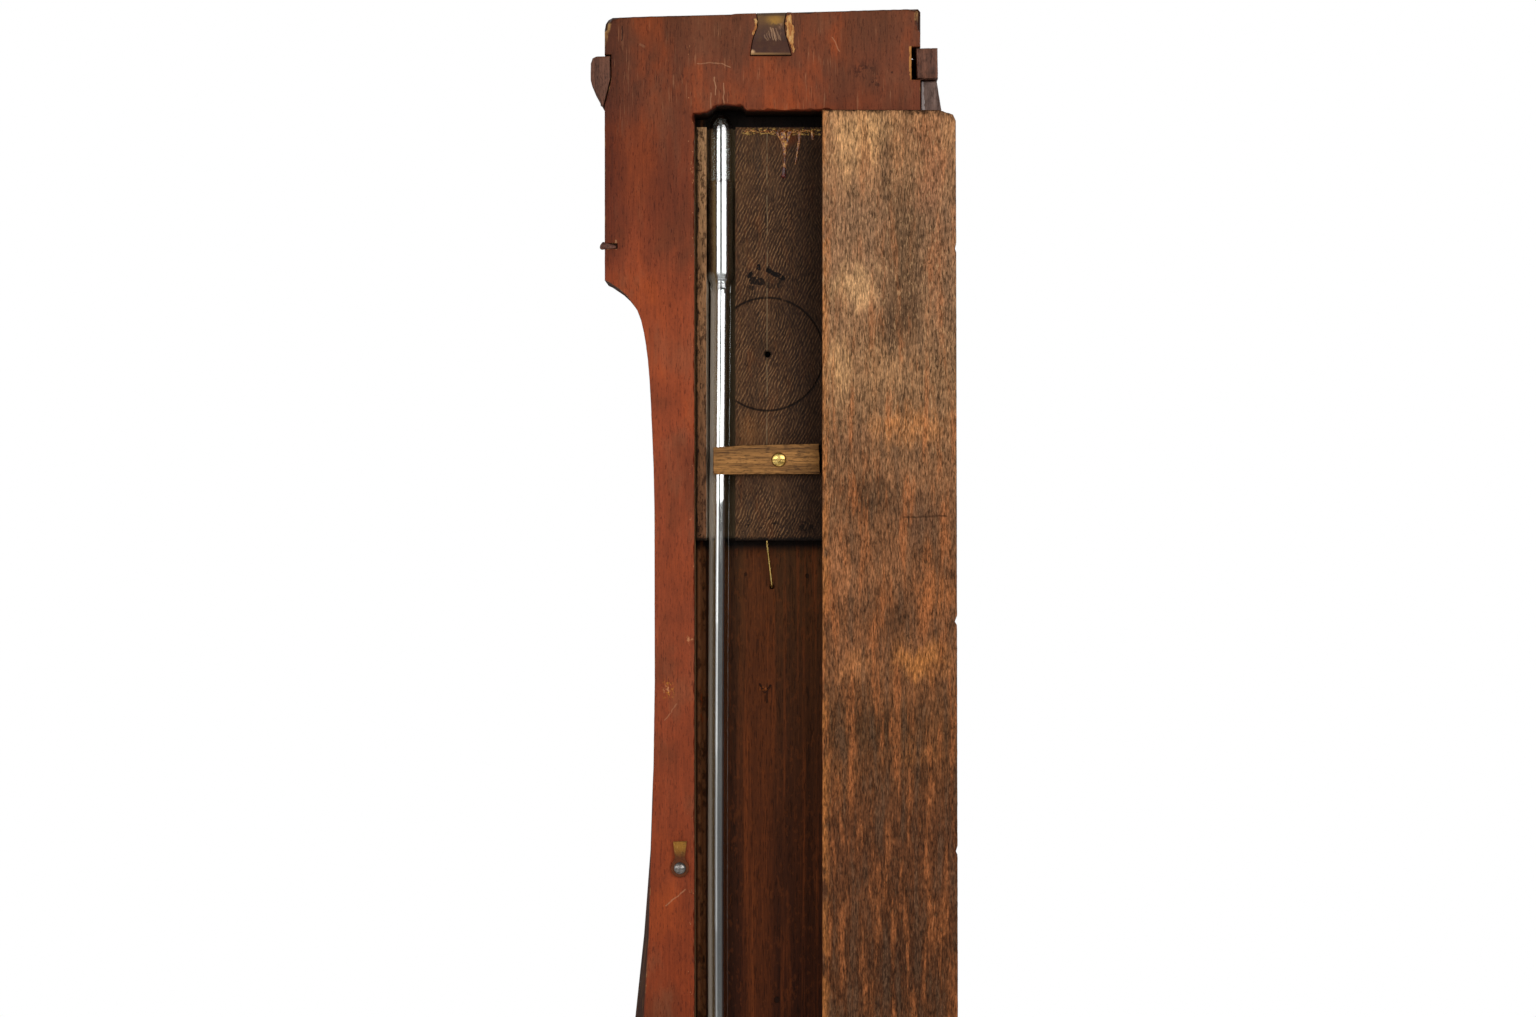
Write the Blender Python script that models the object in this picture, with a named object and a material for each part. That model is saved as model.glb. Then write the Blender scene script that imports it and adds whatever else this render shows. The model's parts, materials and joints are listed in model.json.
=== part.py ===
"""Antique mercury wheel barometer, shown with its back door open.

All sizes below are in millimetres; the modelling helpers scale them to metres.
X runs across the case, the dial faces -Y, the back faces +Y, and +Z is up.
The origin is on the hanging plate, in the plane of the case's back face.
"""

import math

import bmesh
import bpy
from mathutils import Matrix, Vector

MM = 0.001
GAP = 0.3  # clearance left between pieces that touch

# Case outline
TOP_Z = 9.8  # top edge on the centreline
TOP_SLOPE = 0.0285  # the top edge and the moulding fall this much per mm towards +X
BOTTOM_Z = -957.0
SHOULDER_HALF = 67.0
SHOULDER_Z = -103.5
NECK_HALF = 45.8
SHOULDER_SWEEP = [  # the hollow curve under each shoulder, easing into the neck
    (65.2, -104.3), (62.7, -106.0), (60.2, -107.7), (57.5, -110.2), (55.1, -113.3), (53.2, -116.2),
    (51.6, -120.4), (50.4, -125.6), (49.5, -131.0), (48.7, -137.3), (48.0, -145.8), (47.4, -156.4),
    (46.9, -168.0), (46.3, -183.0), (45.9, -200.0),
]
NECK_Z = -274.0  # the neck starts to widen here
FLARE_R = 1200.0  # hollow flare from the neck into the round body
DIAL_Z = -746.0
BODY_R = 132.2
BASE_HALF = 73.0
BASE_Z = -901.0
BASE_SWEEP_R = 36.0
BASE_SWEEP_X = 100.0

# Depths, from the back face (0) to the front
CASE_FRONT = -23.4
BOARD_BACK, BOARD_FRONT = -23.7, -37.7
VENEER_BACK, VENEER_FRONT = -38.0, -38.8
INNER_BACK, INNER_FRONT = -11.0, -23.4
BEVEL_START_Z = -330.0  # below this the back edge is bevelled, more and more
BEVEL_RATE = 0.049
BEVEL_MAX = 10.0
BEVEL_DEPTH = 14.0

# Hanging plate: its lower part stands proud as a lip
LIP_Z, LIP_PROUD = -1.8, 1.5

# Channel and door
CHANNEL_LEFT, CHANNEL_RIGHT = 28.8, -29.3
CHANNEL_TOP, CHANNEL_BOTTOM = -31.6, -890.0
DOOR_AXIS_X, DOOR_AXIS_Y = -27.1, 1.2
DOOR_THICK = 4.6
DOOR_NEAR, DOOR_FAR_TOP, DOOR_FAR = -25.2, -81.6, -82.5
DOOR_TOP, DOOR_BOTTOM = -31.9, -889.6
HINGE_Z = (-130.0, -800.0)
HINGE_LENGTH = 40.0
HINGE_REACH = 38.6
LEAF_THICK = 0.8
KNUCKLE_R, KNUCKLE_BORE, HINGE_PIN_R = 1.0, 0.62, 0.32

# Tube, mercury and float
TUBE_Y = -15.4
LONG_X, SHORT_X = 17.9, 6.06
WIDE_R, WIDE_BORE = 5.5, 4.25
NARROW_R, NARROW_BORE = 4.3, 2.6
TUBE_TOP, BULB_END, NARROW_START = -31.0, -105.0, -112.0
CUP_RIM, CUP_END, CUP_NARROW = -770.0, -841.0, -848.0
BEND_Z = -868.0
MERCURY_TOP, MERCURY_CUP_TOP = -59.2, -821.0
GROOVE_LEFT, GROOVE_RIGHT, GROOVE_FLOOR = 23.9, 11.7, -21.3
INNER_TOP, INNER_BOTTOM = -37.4, -214.0
COCK_SCREW_Z = -693.0
WHEEL_R = 6.06  # radius at the thread: one turn is 1.5 inches of float travel

# Dial work
DIAL_R, DIAL_RECESS_R, DIAL_FLOOR = 104.5, 106.0, -31.2
SET_DROP = 122.5  # the knob is this far below the dial's centre
CORD_Y = -26.0
SLEEVE_CORD_R, SPINDLE_CORD_R = 6.7, 4.2
POINTER_TURN = math.radians(50.0)  # 29.9 inches, clockwise of the top seen from the front
SET_TURN = math.radians(28.0)
BEZEL_AXIS_X, BEZEL_AXIS_Y = -117.0, -41.5
HYGRO_X, HYGRO_Z, HYGRO_R = -2.1, -134.4, 25.5
BOX_HALF, BOX_TOP, BOX_BOTTOM, BOX_FLOOR = 21.0, -222.0, -482.0, -29.0
LEVEL_Z = -931.0

BUTTON_X = 35.0
BUTTON_Z = {"upper": -352.6, "lower": -700.0}
CLAMP_Z = {"upper": -179.6, "lower": -640.0}
CLAMP_SCREW_X = {"upper": -6.9, "lower": -6.0}

FINISHES = {
    "stained_back": ((0.22, 0.045, 0.022), 0.0, 0.45),
    "raw_wood": ((0.21, 0.11, 0.06), 0.0, 0.8),
    "inner_wood": ((0.06, 0.032, 0.018), 0.0, 0.7),
    "mahogany": ((0.16, 0.045, 0.02), 0.0, 0.3),
    "dark_wood": ((0.08, 0.03, 0.02), 0.0, 0.5),
    "brass": ((0.62, 0.42, 0.15), 1.0, 0.35),
    "old_brass": ((0.22, 0.14, 0.06), 1.0, 0.5),
    "steel": ((0.5, 0.5, 0.5), 1.0, 0.35),
    "blued_steel": ((0.03, 0.04, 0.12), 1.0, 0.3),
    "iron": ((0.08, 0.05, 0.04), 1.0, 0.7),
    "glass": ((0.9, 0.95, 0.95), 0.0, 0.02),
    "mercury": ((0.8, 0.8, 0.82), 1.0, 0.03),
    "silvered_brass": ((0.75, 0.74, 0.7), 1.0, 0.4),
    "bone": ((0.8, 0.72, 0.55), 0.0, 0.4),
    "thread": ((0.5, 0.4, 0.25), 0.0, 0.9),
}


def clear_scene():
    for obj in list(bpy.data.objects):
        bpy.data.objects.remove(obj, do_unlink=True)


def material(finish):
    found = bpy.data.materials.get(finish)
    if found:
        return found
    colour, metallic, roughness = FINISHES[finish]
    new = bpy.data.materials.new(finish)
    new.use_nodes = True
    shader = new.node_tree.nodes["Principled BSDF"]
    shader.inputs["Base Color"].default_value = (*colour, 1.0)
    shader.inputs["Metallic"].default_value = metallic
    shader.inputs["Roughness"].default_value = roughness
    if finish == "glass":
        shader.inputs["Transmission Weight"].default_value = 1.0
    return new


# Modelling helpers


def add_object(name, bm, finish, smooth=False):
    """Turn a bmesh in millimetres into a named object in metres."""
    bmesh.ops.scale(bm, vec=(MM, MM, MM), verts=bm.verts)
    bmesh.ops.recalc_face_normals(bm, faces=bm.faces)
    mesh = bpy.data.meshes.new(name)
    bm.to_mesh(mesh)
    bm.free()
    mesh.materials.append(material(finish))
    if smooth:
        mesh.shade_smooth()
        mesh.set_sharp_from_angle(angle=math.radians(35))
    obj = bpy.data.objects.new(name, mesh)
    bpy.context.scene.collection.objects.link(obj)
    return obj


def loft(name, sections, finish, smooth=False):
    """A solid through outlines of (x, z) points, each at its own depth y."""
    bm = bmesh.new()
    rings = [[bm.verts.new((x, y, z)) for x, z in outline] for y, outline in sections]
    for first, second in zip(rings, rings[1:]):
        for i in range(len(first)):
            j = (i + 1) % len(first)
            bm.faces.new((first[i], first[j], second[j], second[i]))
    bm.faces.new(rings[0])
    bm.faces.new(rings[-1])
    return add_object(name, bm, finish, smooth)


def plate(name, outline, back, front, finish):
    """A flat piece with an (x, z) outline between two depths."""
    return loft(name, [(back, outline), (front, outline)], finish)


def rectangle(x0, x1, z0, z1):
    return [(x0, z0), (x1, z0), (x1, z1), (x0, z1)]


def block(name, xs, ys, zs, finish):
    return plate(name, rectangle(*xs, *zs), ys[0], ys[1], finish)


def bar_profile(name, outline, reach, finish):
    """A moulding with a (y, z) section, running along X, mitred to the reach of each point."""
    bm = bmesh.new()
    ends = [[bm.verts.new((r[k], y, z)) for (y, z), r in zip(outline, reach)] for k in (0, 1)]
    for i in range(len(outline)):
        j = (i + 1) % len(outline)
        bm.faces.new((ends[0][i], ends[0][j], ends[1][j], ends[1][i]))
    bm.faces.new(ends[0])
    bm.faces.new(ends[1])
    return add_object(name, bm, finish)


def ring_points(centre, side, radius, segments):
    """Points round a centre, in the plane of a side vector and the Y axis."""
    across = Vector((0, 1, 0))
    turns = (2 * math.pi * i / segments for i in range(segments))
    return [centre + radius * (math.cos(a) * side + math.sin(a) * across) for a in turns]


def skin(bm, rings, closed):
    """Join rings of vertices in order; a ring of one vertex is a pole."""
    pairs = list(zip(rings, rings[1:]))
    if closed:
        pairs.append((rings[-1], rings[0]))
    for first, second in pairs:
        count = max(len(first), len(second))
        for i in range(count):
            j = (i + 1) % count
            if len(first) == 1:
                bm.faces.new((first[0], second[j], second[i]))
            elif len(second) == 1:
                bm.faces.new((first[i], first[j], second[0]))
            else:
                bm.faces.new((first[i], first[j], second[j], second[i]))


def turned_ring(bm, radius, height, centre, axis, segments):
    """A ring of vertices round a turning axis, or the one vertex on it."""
    ring = []
    for i in range(1 if radius == 0 else segments):
        a = 2 * math.pi * i / segments
        across, up = radius * math.cos(a), radius * math.sin(a)
        place = (across, height, up) if axis == "Y" else (across, up, height)
        ring.append(bm.verts.new(Vector(place) + Vector(centre)))
    return ring


def turned(name, profile, centre, finish, axis="Y", segments=48):
    """A turned solid: (radius, height) points, along Y or Z through a centre."""
    bm = bmesh.new()
    closed = profile[0][0] != 0
    flat_start = not closed and profile[0][1] == profile[1][1]
    flat_end = not closed and profile[-1][1] == profile[-2][1]
    chain = profile[1 if flat_start else 0: len(profile) - (1 if flat_end else 0)]
    rings = [turned_ring(bm, r, h, centre, axis, segments) for r, h in chain]
    skin(bm, rings, closed)
    if flat_start:
        bm.faces.new(rings[0])
    if flat_end:
        bm.faces.new(rings[-1])
    return add_object(name, bm, finish, smooth=True)


def rod(name, radius, centre, start, end, finish, axis="Y", segments=20):
    profile = [(0, start), (radius, start), (radius, end), (0, end)]
    return turned(name, profile, centre, finish, axis, segments)


def swept(name, stations, finish, segments=20, closed=False):
    """A solid swept in the XZ plane through (centre, side, radius) stations."""
    bm = bmesh.new()
    rings = []
    for centre, side, radius in stations:
        points = [centre] if radius == 0 else ring_points(centre, side, radius, segments)
        rings.append([bm.verts.new(p) for p in points])
    skin(bm, rings, closed)
    return add_object(name, bm, finish, smooth=True)


def combine(target, tool, operation):
    """Cut a hidden tool from a piece, or join it on."""
    modifier = target.modifiers.new(operation.lower(), "BOOLEAN")
    modifier.operation = operation
    modifier.solver = "EXACT"
    modifier.object = tool
    tool.hide_render = True
    tool.display_type = "WIRE"


def cut(target, *tools):
    for tool in tools:
        combine(target, tool, "DIFFERENCE")


def join(target, *tools):
    for tool in tools:
        combine(target, tool, "UNION")


def pivot(name, x, y, z, pieces):
    """An empty on a joint's axis that carries the joint's pieces."""
    empty = bpy.data.objects.new(name, None)
    empty.location = Vector((x, y, z)) * MM
    bpy.context.scene.collection.objects.link(empty)
    for piece in pieces:
        piece.parent = empty
        piece.matrix_parent_inverse = Matrix.Translation(-empty.location)
    return empty


def arc(cx, cz, radius, start, end, count, radius_z=None):
    """Points on an arc or an ellipse, angles in degrees from +X towards +Z."""
    tall = radius if radius_z is None else radius_z
    angles = [math.radians(start + (end - start) * i / count) for i in range(count + 1)]
    return [(cx + radius * math.cos(a), cz + tall * math.sin(a)) for a in angles]


def mirrored(half):
    """A whole outline from its +X half, listed from top to bottom."""
    return half + [(-x, z) for x, z in reversed(half)]


# Case


def top_edge(x):
    return TOP_Z - TOP_SLOPE * x


def case_outline():
    """The banjo outline, from the top right-hand corner round to the top left."""
    flare_x = NECK_HALF + FLARE_R
    flare_end = math.degrees(math.atan2(NECK_Z - DIAL_Z, flare_x))
    base_angle = math.degrees(math.acos(BASE_SWEEP_X / (BODY_R + BASE_SWEEP_R)))
    base_cz = DIAL_Z - (BODY_R + BASE_SWEEP_R) * math.sin(math.radians(base_angle))
    base_end = math.degrees(math.asin((base_cz - BASE_Z) / BASE_SWEEP_R))
    half = [(SHOULDER_HALF, TOP_Z), (SHOULDER_HALF, SHOULDER_Z)]
    half += SHOULDER_SWEEP
    half += arc(flare_x, NECK_Z, FLARE_R, 180, 180 + flare_end, 12)
    half += arc(0, DIAL_Z, BODY_R, flare_end, -base_angle, 22)[1:]
    half += arc(BASE_SWEEP_X, base_cz, BASE_SWEEP_R, 180 - base_angle, 180 + base_end, 8)[1:]
    half += [(BASE_HALF, BASE_Z), (BASE_HALF, BOTTOM_Z)]
    outline = mirrored(half)
    worn = [(63.6, top_edge(63.6)), (65.4, 7.0), (66.5, 5.4), (SHOULDER_HALF, 2.8)]
    square = [(-SHOULDER_HALF, 10.4), (-66.0, top_edge(-66.0))]
    return worn + outline[1:-1] + square


def bevel_at(z):
    """Width of the bevel on the back edge: none at the neck, less again at the base."""
    grown = min(BEVEL_MAX, max(0.0, (BEVEL_START_Z - z) * BEVEL_RATE))
    base = min(1.0, max(0.0, (z - BASE_Z) / 60.0))
    return grown * (0.25 + 0.75 * base)


def inset(outline):
    """The outline moved inwards by the bevel's width."""
    moved = []
    for i, (x, z) in enumerate(outline):
        before, after = outline[i - 1], outline[(i + 1) % len(outline)]
        run = Vector((after[0] - before[0], after[1] - before[1])).normalized()
        width = bevel_at(z)
        moved.append((x + run.y * width, z - run.x * width))
    return moved


def fishtail(grow=0.0):
    """Outline of the hanging plate."""
    left = [(5.0, -8.1), (4.15, LIP_Z - 0.8), (4.0, LIP_Z), (3.3, 0.4), (2.0, 3.6), (1.8, 6.0), (2.4, 9.6)]
    right = [(-9.9, 9.9), (-9.0, 6.0), (-9.2, 2.6), (-9.6, 0.4)]
    right += [(-10.3, LIP_Z), (-10.5, LIP_Z - 0.8), (-12.0, -8.1)]
    centre_x = -3.5
    points = left + right
    return [(x + math.copysign(grow, x - centre_x), z - grow * (z < -8)) for x, z in points]


def notch_tools():
    """Cutters for the notches that house the moulding's side returns."""
    shape = [(64.2, -7.9), (72.0, -7.9), (72.0, -29.0), (66.9, -29.0), (64.7, -20.3), (64.2, -18.0)]
    left = plate("notch_left", shape, 5.0, -45.0, "dark_wood")
    right = block("notch_right", (-72.0, -63.2), (5.0, -45.0), (-18.4, -4.6), "dark_wood")
    return left, right


def channel_outline():
    """The channel's outline, chiselled up at its top to clear the tube."""
    return [
        (CHANNEL_RIGHT, CHANNEL_TOP), (6.8, CHANNEL_TOP), (8.6, -29.9), (14.0, -29.2),
        (19.4, -29.5), (21.6, -31.2), (23.6, -32.6), (CHANNEL_LEFT, -33.2),
        (CHANNEL_LEFT, CHANNEL_BOTTOM), (CHANNEL_RIGHT, CHANNEL_BOTTOM),
    ]


def screw_hole(name, x, z, back, front, radius=1.5):
    return rod(name, radius, (x, 0, z), back, front, "iron")


def make_case():
    outline = case_outline()
    back_edge = inset(outline)
    sections = [(0.0, back_edge), (-BEVEL_DEPTH, outline), (CASE_FRONT, outline)]
    back = loft("case_back", sections, "stained_back")
    left, right = notch_tools()
    channel = plate("channel_cutter", channel_outline(), 5.0, -28.0, "dark_wood")
    recess = fishtail(GAP)
    half = len(recess) // 2
    recess[half:half] = [(recess[half - 1][0], 20.0), (recess[half][0], 20.0)]
    seat = plate("plate_recess", recess, 5.0, -1.9, "dark_wood")
    nail_slot = block("nail_slot", (61.5, 80.0), (5.0, -2.4), (-90.1, -87.9), "dark_wood")
    cut(back, channel, left, right, seat, nail_slot)
    for name, z in BUTTON_Z.items():
        cut(back, screw_hole(f"button_hole_{name}", BUTTON_X, z, 5.0, -10.5))

    board = plate("front_board", outline, BOARD_BACK, BOARD_FRONT, "mahogany")
    veneer = plate("front_veneer", outline, VENEER_BACK, VENEER_FRONT, "mahogany")
    cut(board, left, right)
    cut(veneer, left, right)
    cut_front_openings(board, veneer)


def cut_front_openings(board, veneer):
    """Recesses in the front board, and the windows over them in the veneer."""
    dial = (0, 0, DIAL_Z)
    recess = rod("dial_recess", DIAL_RECESS_R, dial, DIAL_FLOOR, -50.0, "brass", segments=72)
    sleeve = rod("sleeve_hole", 2.7, dial, -20.0, -36.0, "brass")
    lowest = DIAL_Z - SET_DROP
    slot = block("cord_slot", (-8.5, 8.5), (-20.0, -27.8), (lowest - 7, DIAL_Z + 9), "brass")
    spindle = rod("spindle_hole", 1.9, (0, 0, lowest), -20.0, -50.0, "brass")
    hygrometer = rod(
        "hygrometer_recess", HYGRO_R, (HYGRO_X, 0, HYGRO_Z), -30.0, -50.0, "brass", segments=48
    )
    pilot = rod("front_pilot", 1.25, (HYGRO_X, 0, HYGRO_Z), -20.0, -36.0, "brass")
    box_zs = (BOX_BOTTOM, BOX_TOP)
    box = block("thermometer_recess", (-BOX_HALF, BOX_HALF), (BOX_FLOOR, -50.0), box_zs, "brass")
    pin = rod("lock_pin_hole", 1.1, (-4.0, 0, -234.0), -20.0, -36.0, "brass")
    level = block("level_recess", (-28, 28), (-31.5, -50.0), (LEVEL_Z - 4, LEVEL_Z + 4), "brass")
    cut(board, recess, sleeve, slot, spindle, hygrometer, pilot, box, pin, level)
    cut(veneer, recess, spindle, hygrometer, box, level)
    cut(board, screw_hole("cock_hole_board", 0.0, COCK_SCREW_Z, -20.0, -33.5))
    cut(board, screw_hole("clamp_hole_board", CLAMP_SCREW_X["lower"], CLAMP_Z["lower"], -20, -30))


def make_inner_board():
    board = block(
        "inner_board",
        (CHANNEL_RIGHT + GAP, CHANNEL_LEFT - GAP),
        (INNER_BACK, INNER_FRONT),
        (INNER_BOTTOM, INNER_TOP),
        "inner_wood",
    )
    groove = block(
        "tube_groove", (GROOVE_RIGHT, GROOVE_LEFT), (5.0, GROOVE_FLOOR), (-300.0, 0.0), "iron"
    )
    pilot = rod("inner_pilot", 1.25, (HYGRO_X, 0, HYGRO_Z), 0.0, -30.0, "iron")
    screw = screw_hole("clamp_hole_inner", CLAMP_SCREW_X["upper"], CLAMP_Z["upper"], 0.0, -20.0)
    pin = rod("pin_socket", 0.9, (-1.9, -17.0, 0), -300.0, -206.0, "iron", axis="Z")
    cut(board, groove, pilot, screw, pin)


def make_mouldings():
    left = [(64.5, -8.3), (70.6, -8.5), (72.2, -9.3), (73.0, -11.6), (73.0, -18.6), (72.4, -20.9)]
    left += [(69.9, -25.4), (67.6, -29.6), (67.3, -29.0), (65.0, -20.0), (64.5, -18.0)]
    plate("cornice_end_left", left, -1.2, -38.4, "dark_wood")
    right = [(-65.2, -5.1), (-74.3, -4.9), (-74.5, -17.8), (-65.6, -18.1)]
    plate("cornice_end_right", right, -1.0, -38.4, "dark_wood")
    cove = [(-67.5, -18.5), (-74.2, -18.5), (-75.0, -24.0), (-76.2, -31.2), (-67.5, -31.2)]
    plate("cornice_return_right", cove, -6.0, -38.4, "mahogany")

    top, low = -6.6, -29.2
    section = [(-39.1, top), (-47.0, top), (-47.0, top - 5), (-46.2, top - 6), (-46.2, top - 10)]
    section += arc(-47.2, low + 1.4, 5.6, 70, 0, 5)
    section += [(-40.4, low + 1.4), (-40.4, low), (-39.1, low)]
    mitre = [(0.85 * (VENEER_FRONT - y), 0.72 * (VENEER_FRONT - y)) for y, _ in section]
    ends = [(-SHOULDER_HALF - right, SHOULDER_HALF + left) for right, left in mitre]
    cornice = bar_profile("cornice_front", section, ends, "mahogany")
    cornice.rotation_euler = (0, math.atan(TOP_SLOPE), 0)


def make_hanging_plate():
    """Fishtail plate, flush above and thickening to a proud lip below."""
    outline = fishtail()
    bm = bmesh.new()
    back, front = [], []
    for x, z in outline:
        proud = LIP_PROUD if z < LIP_Z else 0.0
        back.append(bm.verts.new((x, proud, z)))
        front.append(bm.verts.new((x, -1.6, z)))
    count = len(outline)
    for i in range(count):
        j = (i + 1) % count
        bm.faces.new((front[i], front[j], back[j], back[i]))
    bm.faces.new(front)
    bm.faces.new(back[2:-2])
    bm.faces.new((back[1], back[2], back[-3], back[-2]))
    bm.faces.new((back[0], back[1], back[-2], back[-1]))
    add_object("hanging_plate", bm, "old_brass")


def make_nail():
    profile = [(0, 62.0), (0.5, 62.2), (0.8, 64.5), (0.8, 68.0), (1.9, 68.3), (1.7, 69.5), (0, 69.8)]
    nail = turned("side_nail", profile, (0, 0, 0), "iron", axis="Z", segments=14)
    nail.rotation_euler = (0, math.pi / 2, 0)
    nail.location = Vector((0, -1.1, -89.0)) * MM


def make_door():
    """The door in its open pose, outer face towards the case."""
    near, far = DOOR_NEAR, DOOR_FAR
    outline = [(near, DOOR_BOTTOM), (near, DOOR_TOP), (-74.5, DOOR_TOP)]
    outline += [(-77.4, DOOR_TOP - 1.0), (-80.4, DOOR_TOP - 2.2), (DOOR_FAR_TOP, DOOR_TOP - 4.8)]
    for nick_z, depth in ((-90.7, 0.5), (-248.0, 0.9), (-345.0, 0.7)):
        lean = DOOR_FAR_TOP + (far - DOOR_FAR_TOP) * min(1.0, nick_z / -416.0)
        outline += [(lean, nick_z + 2.5), (lean + depth, nick_z), (lean, nick_z - 1.5)]
    outline += [(far, -416.0), (far, DOOR_BOTTOM)]
    outer = 2 * DOOR_AXIS_Y
    return plate("back_door", outline, outer + DOOR_THICK, outer, "raw_wood")


def leaf_outline(z, notches):
    """A hinge leaf on the -X side of the axis, cut back where the other's knuckles turn."""
    near, clear = DOOR_AXIS_X - 0.75, DOOR_AXIS_X - KNUCKLE_R - GAP
    top, bottom = z + HINGE_LENGTH / 2, z - HINGE_LENGTH / 2
    edge = [(near, top)]
    for high, low in notches:
        edge += [(near, z + high), (clear, z + high), (clear, z + low), (near, z + low)]
    edge += [(near, bottom)]
    if notches[0][0] == HINGE_LENGTH / 2:
        edge = edge[2:-2]
    return edge + [(-HINGE_REACH, bottom), (-HINGE_REACH, top)]


def knuckle(name, z, high, low):
    profile = [(KNUCKLE_BORE, high), (KNUCKLE_R, high), (KNUCKLE_R, low), (KNUCKLE_BORE, low)]
    centre = (DOOR_AXIS_X, DOOR_AXIS_Y, z)
    return turned(name, profile, centre, "brass", axis="Z", segments=16)


def make_door_hinge(label, z):
    """A surface butt hinge: two outer knuckles on the case, one between on the door."""
    half, third = HINGE_LENGTH / 2, HINGE_LENGTH / 6
    back = DOOR_AXIS_Y - 0.1
    case_leaf = plate(
        f"hinge_{label}_case_leaf",
        leaf_outline(z, [(third + GAP, -third - GAP)]),
        back,
        back - LEAF_THICK,
        "brass",
    )
    join(
        case_leaf,
        knuckle(f"knuckle_{label}_top", z, half, third + GAP),
        knuckle(f"knuckle_{label}_bottom", z, -third - GAP, -half),
    )
    front = DOOR_AXIS_Y + 0.1
    door_leaf = plate(
        f"hinge_{label}_door_leaf",
        leaf_outline(z, [(half, third), (-third, -half)]),
        front + LEAF_THICK,
        front,
        "brass",
    )
    join(door_leaf, knuckle(f"knuckle_{label}_middle", z, third, -third))
    rod(
        f"hinge_{label}_pin",
        HINGE_PIN_R,
        (DOOR_AXIS_X, DOOR_AXIS_Y, z),
        half + 0.5,
        -half - 0.5,
        "steel",
        axis="Z",
        segments=12,
    )
    return door_leaf


def make_turn_button(label, z):
    """Brass button pointing up, round its screw below and square-ended above."""
    outline = arc(BUTTON_X, z, 3.8, 150, 390, 14)
    outline += [(BUTTON_X + 2.1, z + 4.4), (BUTTON_X + 2.9, z + 11.2), (BUTTON_X - 2.9, z + 11.4)]
    outline += [(BUTTON_X - 2.1, z + 4.4)]
    button = plate(f"turn_button_{label}", outline, 1.5, GAP, "brass")
    cut(button, screw_hole(f"turn_hole_{label}", BUTTON_X, z, 5.0, -5.0))
    profile = [(0, 3.0), (1.3, 2.8), (2.3, 2.2), (2.6, 1.8), (1.2, 1.8), (1.2, -8.0), (0, -10.0)]
    turned(f"turn_button_screw_{label}", profile, (BUTTON_X, 0, z), "steel", segments=20)
    return button


# Tube, mercury and float


def limb_path(from_z, bend_count=14):
    """Stations down the long limb, round the bend and up the short one: (centre, side)."""
    middle, bend_r = (LONG_X + SHORT_X) / 2, (LONG_X - SHORT_X) / 2
    path = [(Vector((LONG_X, TUBE_Y, z)), Vector((1, 0, 0))) for z in from_z]
    for i in range(bend_count + 1):
        a = math.pi * i / bend_count
        side = Vector((math.cos(a), 0, -math.sin(a)))
        path.append((Vector((middle, TUBE_Y, BEND_Z)) + bend_r * side, side))
    return path


def short_stations(levels):
    side = Vector((-1, 0, 0))
    return [(Vector((SHORT_X, TUBE_Y, z)), side, radius) for z, radius in levels]


def dome(x, z, radius, count=4):
    """Stations over a rounded closed end, from the pole down to the full radius."""
    side = Vector((1, 0, 0))
    stations = []
    for i in range(count):
        a = math.pi / 2 * i / count
        level = z - radius * (1 - math.cos(a))
        stations.append((Vector((x, TUBE_Y, level)), side, radius * math.sin(a)))
    return stations


def make_tube():
    outer = dome(LONG_X, TUBE_TOP, WIDE_R)
    side = Vector((1, 0, 0))
    outer.append((Vector((LONG_X, TUBE_Y, TUBE_TOP - WIDE_R)), side, WIDE_R))
    outer.append((Vector((LONG_X, TUBE_Y, BULB_END)), side, WIDE_R))
    outer += [(c, s, NARROW_R) for c, s in limb_path([NARROW_START])]
    outer += short_stations([(CUP_NARROW, NARROW_R), (CUP_END, WIDE_R), (CUP_RIM, WIDE_R)])
    bore_top = TUBE_TOP - 1.6
    bore = dome(LONG_X, bore_top, WIDE_BORE)
    bore.append((Vector((LONG_X, TUBE_Y, bore_top - WIDE_BORE)), side, WIDE_BORE))
    bore.append((Vector((LONG_X, TUBE_Y, BULB_END)), side, WIDE_BORE))
    bore += [(c, s, NARROW_BORE) for c, s in limb_path([NARROW_START])]
    bore += short_stations([(CUP_NARROW, NARROW_BORE), (CUP_END, WIDE_BORE), (CUP_RIM, WIDE_BORE)])
    swept("siphon_tube", outer + bore[::-1], "glass", segments=24)


def make_mercury():
    wide, narrow = WIDE_BORE - GAP, NARROW_BORE - GAP
    centre = (LONG_X, TUBE_Y, 0)
    bulb = [(0, MERCURY_TOP), (wide * 0.6, MERCURY_TOP - 0.4), (wide, MERCURY_TOP - 1.4)]
    bulb += [(wide, BULB_END + 0.2), (0, BULB_END + 0.2)]
    turned("mercury_bulb", bulb, centre, "mercury", axis="Z", segments=24)
    start = (Vector((LONG_X, TUBE_Y, BULB_END - 0.3)), Vector((1, 0, 0)))
    path = limb_path([NARROW_START])
    stations = [(*start, 0), (*start, wide - 0.6)]
    stations += [(c, s, narrow) for c, s in path]
    stations += short_stations([(CUP_NARROW, narrow), (CUP_END - 0.3, wide - 0.6)])
    stations += short_stations([(CUP_END - 0.3, 0)])
    swept("mercury_column", stations, "mercury", segments=16)
    cup = [(0, MERCURY_CUP_TOP), (wide, MERCURY_CUP_TOP), (wide, CUP_END), (0, CUP_END)]
    turned("mercury_cup", cup, (SHORT_X, TUBE_Y, 0), "mercury", axis="Z", segments=20)


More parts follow.
